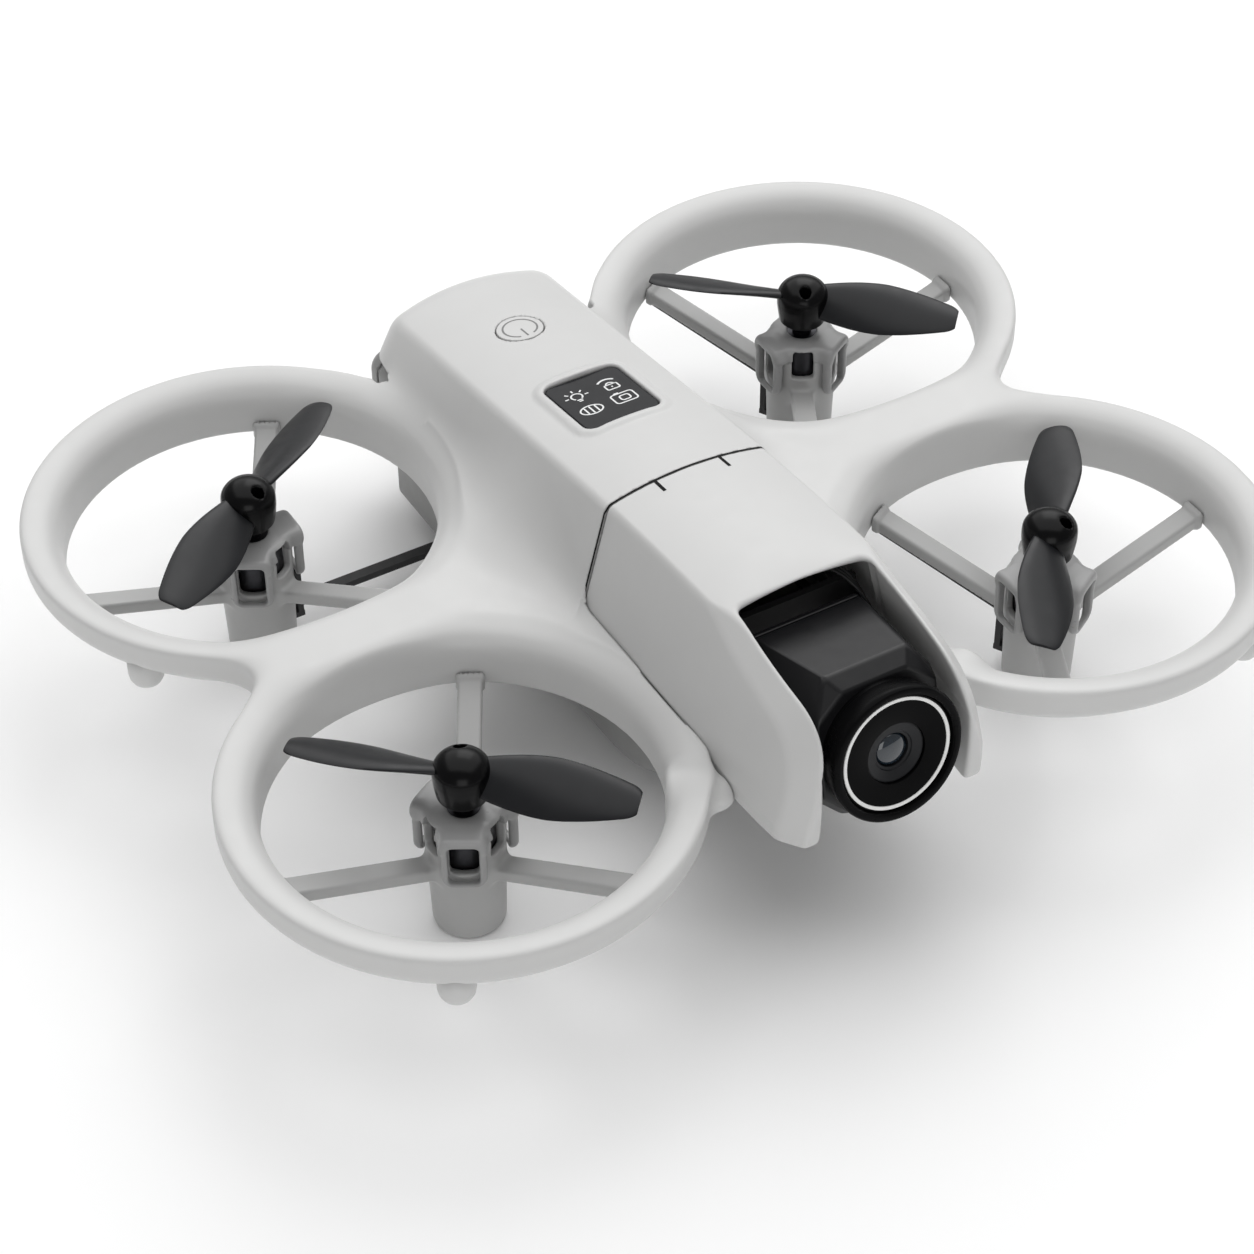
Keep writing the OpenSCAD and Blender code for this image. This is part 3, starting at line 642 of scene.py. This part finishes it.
skinned(
    "belly", belly_field, (0, -38, -26), (18, 49, 1), 0.45,
    "frame", "belly_grey", BELLY_PAINTED_SHADE, "belly_tray", mirrored=True,
)
skinned(
    "battery", battery_field, (0, -5, -24), (18, 58, 0), 0.45,
    "battery", "belly_grey", BELLY_PAINTED_SHADE, "battery_case", mirrored=True,
)
skinned(
    "latch", latch_field, (-7, 53, -16), (7, 58, -10), 0.18,
    "battery_latch", "display_frame", DARK, "battery_latch",
)
skinned(
    "button", button_field, (-4.2, 32.5, 4), (4.2, 41.5, 12.5), 0.16,
    "power_button", "shell_white", SHELL, "power_button",
)


# ---- motor pods --------------------------------------------------------------------
BARREL_TOP, BARREL_R, BARREL_FOOT_R = -8.4, 5.65, 5.1
MOTOR_R = 4.3
SPOKE_W, SPOKE_H, SPOKE_IN, SPOKE_OUT = 3.5, 2.2, -14.2, -7.0
CAP_TOP, LOOP_R, LOOP_W, LOOP_LOW = -5.7, 6.75, 6.4, -15.3
SPOKE_ANGLES = [math.radians(a) for a in (60, 180, 300)]  # on the right side
LOOP_ANGLES = [a + math.pi / 3 for a in SPOKE_ANGLES]


def turned(x, y, angle):
    """Along and across a direction."""
    c, s = math.cos(angle), math.sin(angle)
    return x * c + y * s, y * c - x * s


def mount_field(x, y, z):
    """The barrel that holds a motor, with three spokes to the duct."""
    r = np.hypot(x, y)
    wall = BARREL_FOOT_R + (BARREL_R - BARREL_FOOT_R) * (z + DECK) / (DECK + BARREL_TOP)
    d = smax(smax(r - wall, z - BARREL_TOP, 0.5), -DECK - z, 0.9)
    for angle in SPOKE_ANGLES:
        u, v = turned(x, y, angle)
        middle_z = SPOKE_IN + (SPOKE_OUT - SPOKE_IN) * (u - 5) / (BORE - 5) - SPOKE_H / 2
        bar = smax(np.abs(v) - SPOKE_W / 2, np.abs(z - middle_z) - SPOKE_H / 2, 0.6)
        bar = np.maximum(bar, 3 - u)
        boss = smax(np.abs(v) - SPOKE_W / 2 - 0.3, np.abs(z - middle_z) - SPOKE_H / 2 - 0.25, 0.6)
        bar = smin(bar, smax(boss, BORE - 0.9 - u, 0.5), 0.4)
        d = smin(d, np.maximum(bar, u - BORE - 0.1), 1.3)
        notch = np.maximum(box2(v, z + 9.2, 1.7, 2.5, 0.5), np.abs(u - 5) - 2)
        d = smax(d, -notch, 0.3)
    for angle in LOOP_ANGLES:
        u, v = turned(x, y, angle)
        window = np.maximum(box2(v, z + 9.7, 2.0, 4.0, 0.6), 3 - u)
        d = smax(d, -window, 0.3)
    bore = np.maximum(r - MOTOR_R, -DECK + 0.9 - z)
    d = smax(d, -bore, 0.3)
    return smax(d, -np.maximum(r - 2.2, z + DECK - 2), 0.4)


def cap_field(x, y, z):
    """The cap: a domed plate with three looped ears that clip over the barrel."""
    r = np.hypot(x, y)
    dome = CAP_TOP - 0.026 * r * r
    side = r - 5.45 - 0.22 * np.maximum(-6.3 - z, 0)
    skirt = smax(smax(side, z - dome, 0.9), BARREL_TOP + 0.05 - z, 0.3)
    ears = np.full(np.broadcast(x, y, z).shape, 9.0)
    windows = ears.copy()
    slots = ears.copy()
    ear_top = CAP_TOP - 0.7
    for loop, spoke in zip(LOOP_ANGLES, SPOKE_ANGLES):
        u, v = turned(x, y, loop)
        ear = box2(v, z - (ear_top + LOOP_LOW) / 2, LOOP_W / 2, (ear_top - LOOP_LOW) / 2, 1.9)
        ear = smax(ear, np.abs(u - LOOP_R + 0.8) - 0.8, 0.9)
        arm = smax(np.abs(v) - LOOP_W / 2 + 0.3, np.abs(z - CAP_TOP + 1.5) - 0.85, 0.8)
        arm = smax(smax(arm, u - LOOP_R + 0.1, 0.9), 3.5 - u, 0.5)
        ears = np.minimum(ears, smin(ear, arm, 1.2))
        windows = np.minimum(windows, np.maximum(box2(v, z + 10.9, 2.1, 3.5, 0.7), 4.4 - u))
        u, v = turned(x, y, spoke)
        slots = np.minimum(slots, np.maximum(box2(v, z + 8.4, 1.6, 1.7, 0.5), 3 - u))
    d = smin(skirt, ears, 0.8)
    d = smax(d, -windows, 0.5)
    d = smax(d, -slots, 0.2)
    hollow = np.maximum(r - MOTOR_R - 0.05, z - CAP_TOP + 1.3)
    hollow = np.minimum(hollow, np.maximum(r - BARREL_R - 0.1, z - BARREL_TOP))
    hollow = np.minimum(hollow, r - 2.3)
    return smax(d, -hollow, 0.35)


HUB_R, HUB_TOP, HUB_LOW = 4.1, 3.7, -3.8


def hub_field(x, y, z):
    """The propeller's domed hub, with its shaft hole and one more."""
    r = np.hypot(x, y)
    dome = np.hypot(r / HUB_R, np.maximum(z - HUB_TOP + 3.3, 0) / 3.3) * HUB_R - HUB_R
    skirt = r - HUB_R + 0.16 * np.maximum(-0.4 - z, 0)
    d = smax(smax(dome, skirt, 0.3), HUB_LOW - z, 0.5)
    d = smin(d, np.maximum(r - 1.6, np.abs(z + 4.4) - 0.65), 0.3)
    a = math.radians(110)
    hole = np.maximum(np.hypot(x - 2.3 * math.cos(a), y - 2.3 * math.sin(a)) - 0.9, 0.8 - z)
    d = smax(d, -hole, 0.25)
    return smax(d, -np.maximum(r - 0.52, np.abs(z + 6) - 8.6), 0.12)


PROP_R, BLADE_W = 24.3, 9.0
BLADE_IN, TIP = 2.2, 0.93  # where a blade starts, and where its tip begins to round


def blade_arrays():
    """One blade along +x, for a propeller that turns counter-clockwise."""
    sides = 28
    tip = np.sin(np.linspace(0.12, 1, 9) * math.pi / 2)
    steps = np.concatenate([np.linspace(0, TIP, 32), TIP + (1 - TIP) * tip])
    rows = []
    for t in steps:
        swell = 0.6 + 0.4 * math.sin(math.pi / 2 * min(t / 0.5, 1))
        taper = 1 - 0.5 * (max(t - 0.45, 0) / 0.55) ** 1.7
        corner = max(t - TIP, 0) / (1 - TIP)
        chord = BLADE_W * swell * taper * (1 - 0.3 * (1 - math.sqrt(1 - min(corner, 1) ** 2 * 0.96)))
        pitch = math.radians(38 - 24 * t**0.8)
        thick = 1.5 - 1.05 * t
        p = (np.arange(sides) + 0.5) * 2 * math.pi / sides
        u = chord / 2 * np.cos(p)
        w = thick / 2 * np.sin(p) * (1 + 0.3 * np.cos(p)) + 0.05 * chord * np.sin(p) ** 2
        x = np.full(sides, BLADE_IN + (PROP_R - BLADE_IN) * t)
        c, s = math.cos(pitch), math.sin(pitch)
        rows.append(np.stack([x, u * c - w * s, u * s + w * c], 1))
    quads = []
    for i in range(len(steps) - 1):
        for j in range(sides):
            a, b = i * sides + j, i * sides + (j + 1) % sides
            quads.append((a, a + sides, b + sides, b))
    last = (len(steps) - 1) * sides
    for j in range(sides // 2 - 1):
        quads.append((last + j, last + sides - 1 - j, last + sides - 2 - j, last + j + 1))
    return np.concatenate(rows), np.array(quads)[:, ::-1]


def join(*shapes):
    """Several (points, faces) as one."""
    points = np.concatenate([s[0] for s in shapes])
    starts = np.cumsum([0] + [len(s[0]) for s in shapes[:-1]])
    return points, np.concatenate([np.asarray(s[1]) + n for s, n in zip(shapes, starts)])


def mirror(shape, axis):
    flip = np.ones(3)
    flip[axis] = -1
    return shape[0] * flip, np.asarray(shape[1])[:, ::-1]


def spin(shape, degrees):
    c, s = math.cos(math.radians(degrees)), math.sin(math.radians(degrees))
    return shape[0] @ np.array([[c, s, 0], [-s, c, 0], [0, 0, 1]]), shape[1]


def at_pod(corner, shape, *extra):
    """A shape modelled round a duct's axis, moved to its corner."""
    centre = PODS[corner]
    return (shape[0] + (centre.x, centre.y - SHIFT, 0), shape[1], *extra)


mount_points, mount_quads, mount_normals = skin(mount_field, (-28, -28, -27.5), (28, 28, -5), 0.34)
cap_points, cap_quads, cap_normals = skin(cap_field, (-8.6, -8.6, -16), (8.6, 8.6, -5), 0.21)
hub_points, hub_quads, _ = skin(hub_field, (-4.6, -4.6, -5.6), (4.6, 4.6, 4.2), 0.22)
blade = blade_arrays()
blades = join(blade, spin(blade, 180))
REST = {"front_right": (1, -44), "rear_right": (-1, 38), "rear_left": (1, 136), "front_left": (-1, 52)}
flip_x = np.array([-1, 1, 1])
for corner, (sx, sy) in CORNERS.items():
    mount, cap = (mount_points, mount_quads), (cap_points, cap_quads)
    mount_n, cap_n = mount_normals, cap_normals
    if sx > 0:
        mount, cap = mirror(mount, 0), mirror(cap, 0)
        mount_n, cap_n = mount_n * flip_x, cap_n * flip_x
    finish_piece(
        make_piece("mount_" + corner, *at_pod(corner, mount, mount_n)),
        "frame", "pod_grey", POD, "motor_mount_" + corner,
    )
    finish_piece(
        make_piece("cap_" + corner, *at_pod(corner, cap, cap_n)),
        "frame", "pod_grey", CAP, "motor_cap_" + corner,
    )
    turn, rest = REST[corner]
    for name, shape, material in (("blades_", blades, PROP), ("hub_", (hub_points, hub_quads), HUB)):
        shape = spin(shape if turn > 0 else mirror(shape, 1), rest)
        piece = make_piece(name + corner, *at_pod(corner, shape))
        piece.data.set_sharp_from_angle(angle=math.radians(50))
        finish_piece(piece, "propeller_" + corner, "propeller_black", material, "propeller_" + corner)


# ---- round pieces ---------------------------------------------------------------------
def lathe(profile, segments=96):
    """A closed surface turned round z from (radius, height) pairs."""
    profile = np.array(profile, float)
    angle = np.arange(segments) * 2 * math.pi / segments
    rings = [np.stack([r * np.cos(angle), r * np.sin(angle), np.full(segments, z)], 1) for r, z in profile]
    quads = []
    for i in range(len(profile) - 1):
        for j in range(segments):
            a, b = i * segments + j, i * segments + (j + 1) % segments
            quads.append((a, b, b + segments, a + segments))
    return np.concatenate(rings), np.array(quads)


PEG_ANGLES = {"front_right": -120, "rear_right": -145, "rear_left": -35, "front_left": -60}
PEG_OUT = 30.4
PEG_PROFILE = [
    (0.01, -9.9), (0.9, -9.86), (1.6, -9.65), (2.15, -9.2), (2.45, -8.6), (2.58, -7.8), (2.6, -4.3),
    (0.01, -4.3),
]
pegs = []
for corner, angle in PEG_ANGLES.items():
    points, quads = lathe(PEG_PROFILE, 48)
    a = math.radians(angle)
    points = points + (PEG_OUT * math.cos(a), PEG_OUT * math.sin(a), 0)
    pegs.append(at_pod(corner, (points, quads)))
finish_piece(make_piece("pegs", *join(*pegs)), "frame", "shell_white", SHELL, "duct_pegs")


# ---- camera -------------------------------------------------------------------------
PITCH = math.radians(-12)
COS_P, SIN_P = math.cos(PITCH), math.sin(PITCH)
CAM_SPIN = np.array([[1, 0, 0], [0, COS_P, -SIN_P], [0, SIN_P, COS_P]])


def at_camera(points):
    """From the camera's own axes, with -y along the lens, to the deck's."""
    return np.asarray(points, float) @ CAM_SPIN.T + (0, CAM_Y, CAM_Z)


def lens_turned(name, profile, slot, material, *replaced, sharp=30):
    """A piece turned round the lens axis from (radius, distance) pairs."""
    points, quads = lathe(profile, 128)
    points = points @ np.array([[1, 0, 0], [0, 0, 1], [0, -1, 0]])
    piece = make_piece(name, at_camera(points), quads)
    piece.data.set_sharp_from_angle(angle=math.radians(sharp))
    return finish_piece(piece, "camera", slot, material, *replaced)


def octagon(f, top, side, low, flat, shoulder):
    """Section of the camera housing, f ahead of the tilt axis."""
    return [
        (-flat, -f, top), (flat, -f, top), (side, -f, shoulder), (side, -f, low + 4),
        (side - 4, -f, low), (4 - side, -f, low), (-side, -f, low + 4), (-side, -f, shoulder),
    ]


def hull_piece(name, points, round_by, slot, material, *replaced):
    """The convex hull of some points with its edges rounded."""
    mesh = bpy.data.meshes.new(name)
    work = bmesh.new()
    for p in to_world(at_camera(points)):
        work.verts.new(p)
    bmesh.ops.convex_hull(work, input=work.verts)
    bmesh.ops.dissolve_limit(work, angle_limit=math.radians(1.5), verts=work.verts, edges=work.edges)
    work.normal_update()
    work.to_mesh(mesh)
    work.free()
    piece = bpy.data.objects.new(name, mesh)
    bpy.context.scene.collection.objects.link(piece)
    for face in mesh.polygons:
        face.use_smooth = True
    bevel = piece.modifiers.new("edges", "BEVEL")
    bevel.width = round_by * MM
    bevel.segments = 3
    bevel.limit_method = "ANGLE"
    bevel.angle_limit = math.radians(12)
    bevel.harden_normals = True
    return finish_piece(piece, "camera", slot, material, *replaced)


hull_piece(
    "camera_box",
    octagon(-6.8, 11.5, 9.8, -10.4, 8.3, 8.8)
    + octagon(7.4, 11.5, 9.8, -10.4, 6.5, 7.0)
    + octagon(9.5, 9.6, 9.4, -9.2, 5.0, 6.0),
    0.45, "camera_black", CAMERA, "camera_housing",
)
hull_piece(
    "camera_cover",
    octagon(-8, 11.4, 9.7, -10.3, 8.2, 8.7) + octagon(-6.95, 11.5, 9.8, -10.4, 8.3, 8.8),
    0.3, "camera_black", CAMERA, "camera_back",
)
lens_turned(
    "barrel",
    [(7.2, 8.5), (9.2, 9.0), (9.25, 10.2), (9.45, 10.5), (9.93, 12.9), (9.98, 13.3), (9.92, 13.65),
     (9.72, 13.9), (9.45, 14.0), (9.05, 14.0), (8.82, 13.92), (8.72, 13.72), (8.68, 12.7)],
    "camera_black", BARREL, "lens_barrel",
)
lens_turned(
    "front_glass",
    [(8.66, 12.6), (8.66, 13.2), (8.5, 13.3), (4.6, 13.3), (4.45, 13.24), (4.42, 12.7)],
    "cover_glass", GLASS, "lens_cover_glass",
)
lens_turned(
    "trim_ring", [(7.76, 13.29), (7.8, 13.42), (8.25, 13.42), (8.29, 13.29)],
    "trim_white", TRIM, "lens_trim_ring",
)
lens_turned(
    "lens_cone",
    [(4.45, 12.75), (4.38, 12.9), (4.2, 12.92), (2.95, 12.5), (2.85, 12.3), (2.5, 12.2), (2.38, 11.3)],
    "lens_coated", CONE, sharp=20,
)
lens_turned(
    "lens_dome",
    [(2.4 * math.cos(t), 11.7 + 0.9 * math.sin(t)) for t in np.linspace(0, math.pi / 2 - 0.01, 14)],
    "lens_coated", LENS, "lens_element", sharp=60,
)


def wire(name, path, radius):
    """A thin wire through some points, in the nose behind the camera."""
    curve = bpy.data.curves.new(name, "CURVE")
    curve.dimensions = "3D"
    curve.bevel_depth = radius * MM
    curve.bevel_resolution = 4
    spline = curve.splines.new("NURBS")
    spline.points.add(len(path) - 1)
    for point, place in zip(spline.points, to_world(path)):
        point.co = (*place, 1)
    spline.use_endpoint_u = True
    spline.order_u = 4
    piece = bpy.data.objects.new(name, curve)
    bpy.context.scene.collection.objects.link(piece)
    finish_piece(piece, "frame", "lead_black", LEAD)


for i in range(3):
    side = 0.75 * i
    wire(
        f"nose_wire_{i + 1}",
        [(3.5 + side, -33, 14.6), (7.4 + side, -36.5, 14.9), (9.2 + side / 2, -39.5, 13.2 - side / 2),
         (10.6, -42 + side, 10.5), (10.7, -44 + 1.3 * side, 7.1)],
        0.24,
    )


# ---- display ---------------------------------------------------------------------------
SLOPE = math.atan(0.15)


def on_screen(points):
    """From the display's own plane to the deck's."""
    points = np.asarray(points, float)
    z0 = float(ridge(SCREEN_Y)) + CROWN - 0.3
    y = points[:, 1] * math.cos(SLOPE) + points[:, 2] * math.sin(SLOPE)
    z = points[:, 2] * math.cos(SLOPE) - points[:, 1] * math.sin(SLOPE)
    return np.stack([points[:, 0], y + SCREEN_Y, z + z0], 1)


def screen_field(x, y, z):
    """The display's window, in its own plane."""
    d = box2(x, y, SCREEN_HW - 0.02, SCREEN_HL - 0.02, SCREEN_R)
    return smax(np.maximum(d, -1 - z), z, 0.25)


points, quads, normals = skin(screen_field, (-6.6, -7.6, -1.3), (6.6, 7.6, 0.4), 0.16)
turned_normals = on_screen(normals) - on_screen(np.zeros((1, 3)))
finish_piece(
    make_piece("screen", on_screen(points), quads, turned_normals),
    "frame", "display_glass", WINDOW, "display_window",
)


def ribbon(path, width, closed=False):
    """A flat band of even width along a path in a plane, as (points, quads)."""
    path = np.array(path, float)
    if closed:
        ahead, behind = np.roll(path, -1, 0), np.roll(path, 1, 0)
    else:
        ahead = np.concatenate([path[1:], path[-1:]])
        behind = np.concatenate([path[:1], path[:-1]])
    along = ahead - behind
    along /= np.linalg.norm(along, axis=1)[:, None]
    across = np.stack([-along[:, 1], along[:, 0]], 1) * width / 2
    n = len(path)
    points = np.concatenate([path - across, path + across])
    points = np.concatenate([points, np.zeros((2 * n, 1))], 1)
    last = n if closed else n - 1
    quads = [(i, (i + 1) % n, n + (i + 1) % n, n + i) for i in range(last)]
    return points, np.array(quads)


def arc(x, y, rx, ry, start, end, n=24):
    t = np.radians(np.linspace(start, end, n))
    return np.stack([x + rx * np.cos(t), y + ry * np.sin(t)], 1)


def rounded_path(x, y, hw, hl, r, n=6):
    """The outline of a rectangle with rounded corners."""
    turns = ((1, 1, 0), (-1, 1, 90), (-1, -1, 180), (1, -1, 270))
    return np.concatenate(
        [arc(x + sx * (hw - r), y + sy * (hl - r), r, r, a, a + 90, n) for sx, sy, a in turns]
    )


LINE = 0.26


def lamp(x, y):
    shapes = [
        ribbon(arc(x, y + 0.25, 0.85, 0.85, -55, 235), LINE),
        ribbon([(x - 0.45, y - 0.75), (x + 0.45, y - 0.75)], LINE),
        ribbon([(x - 0.32, y - 1.15), (x + 0.32, y - 1.15)], LINE),
    ]
    for a in (0, 45, 90, 135, 180):
        c, s = math.cos(math.radians(a)), math.sin(math.radians(a))
        shapes.append(ribbon([(x + 1.3 * c, y + 0.25 + 1.3 * s), (x + 1.9 * c, y + 0.25 + 1.9 * s)], LINE))
    return shapes


def lock(x, y):
    return [
        ribbon(arc(x, y - 1.5, 2.3, 3.1, 55, 125, 12), LINE * 1.3),
        ribbon(arc(x + 0.15, y - 0.2, 0.65, 0.7, 0, 180), LINE),
        ribbon(rounded_path(x + 0.15, y - 0.75, 1.0, 0.7, 0.25), LINE, closed=True),
        ribbon([(x + 0.15, y - 0.6), (x + 0.15, y - 0.9)], LINE),
    ]


def grille(x, y):
    shapes = [ribbon(arc(x, y, 1.75, 1.2, 0, 345, 40), LINE, closed=True)]
    for dx in (-0.85, 0, 0.85):
        h = 1.0 * math.sqrt(1 - (dx / 1.75) ** 2)
        shapes.append(ribbon([(x + dx, y - h), (x + dx, y + h)], LINE))
    return shapes


def snapshot(x, y):
    return [
        ribbon(rounded_path(x, y, 1.75, 1.3, 0.5), LINE, closed=True),
        ribbon(rounded_path(x + 0.1, y - 0.05, 0.75, 0.65, 0.4), LINE, closed=True),
        ribbon([(x - 1.0, y + 1.55), (x - 0.2, y + 1.55)], LINE),
    ]


icons = join(*lamp(-2.8, 2.1), *lock(2.6, 2.5), *grille(-2.8, -2.1), *snapshot(2.7, -1.9))
finish_piece(
    make_piece("screen_icons", on_screen(icons[0] + (0, 0, 0.012)), icons[1]),
    "frame", "display_glass", ICON,
)

mark = join(
    ribbon(arc(0, BUTTON_Y, 2.6, 2.6, -90 + 24, 270 - 24, 60), 0.3),
    ribbon([(0, BUTTON_Y - 2.7), (0, BUTTON_Y - 0.3)], 0.3),
)
mark[0][:, 2] = top_z(mark[0][:, 0], mark[0][:, 1]) + 0.012
finish_piece(make_piece("power_mark", *mark), "power_button", "display_frame", MARK)


# ---- stage ---------------------------------------------------------------------
def stage():
    """A plain floor and an even sky."""
    mesh = bpy.data.meshes.new("floor")
    half = 6.0
    corners = [(-half, -half, 0), (half, -half, 0), (half, half, 0), (-half, half, 0)]
    mesh.from_pydata(corners, [], [(0, 1, 2, 3)])
    floor = bpy.data.objects.new("floor", mesh)
    bpy.context.scene.collection.objects.link(floor)
    material, tree, shader = node_material("floor_white")
    shader.inputs["Base Color"].default_value = (0.97, 0.97, 0.97, 1)
    shader.inputs["Roughness"].default_value = 0.9
    shader.inputs["Specular IOR Level"].default_value = 0.1
    floor.data.materials.append(material)
    world = bpy.data.worlds.new("studio")
    world.use_nodes = True
    background = world.node_tree.nodes["Background"]
    background.inputs["Color"].default_value = (1, 1, 1, 1)
    background.inputs["Strength"].default_value = 0.3
    bpy.context.scene.world = world


def soft_box(name, place, size, watts, target=(0, 0, 0.02)):
    light = bpy.data.lights.new(name, "AREA")
    light.shape = "RECTANGLE"
    light.size, light.size_y = size
    light.energy = watts
    box = bpy.data.objects.new(name, light)
    box.location = place
    box.rotation_mode = "QUATERNION"
    box.rotation_quaternion = (Vector(target) - Vector(place)).to_track_quat("-Z", "Y")
    bpy.context.scene.collection.objects.link(box)


AZIMUTH, ELEVATION, ROLL = (math.radians(a) for a in (-29.86, 42.13, -0.68))
FOCAL_LENGTH = 94.9
TARGET = Vector((-14.3, -19.0 + SHIFT, DECK)) * MM  # where the view's middle meets the deck
DISTANCE = 459.5 * MM


def camera():
    data = bpy.data.cameras.new("camera")
    data.sensor_width = 36
    data.lens = FOCAL_LENGTH
    data.clip_start, data.clip_end = 0.01, 50
    eye = bpy.data.objects.new("camera", data)
    level = math.cos(ELEVATION)
    back = Vector((math.sin(AZIMUTH) * level, -math.cos(AZIMUTH) * level, math.sin(ELEVATION)))
    eye.location = TARGET + back * DISTANCE
    eye.rotation_mode = "QUATERNION"
    eye.rotation_quaternion = Quaternion(back, ROLL) @ back.to_track_quat("Z", "Y")
    bpy.context.scene.collection.objects.link(eye)
    bpy.context.scene.camera = eye


camera()
stage()
soft_box("overhead", (0.3, 0.4, 1.1), (2.4, 2.4), 23)
soft_box("key", (0.6, 0.75, 1.0), (0.8, 0.8), 3.6)
soft_box("fill", (-0.6, -1.2, 0.4), (0.8, 0.8), 3.5)
bpy.context.scene.view_settings.view_transform = "Standard"
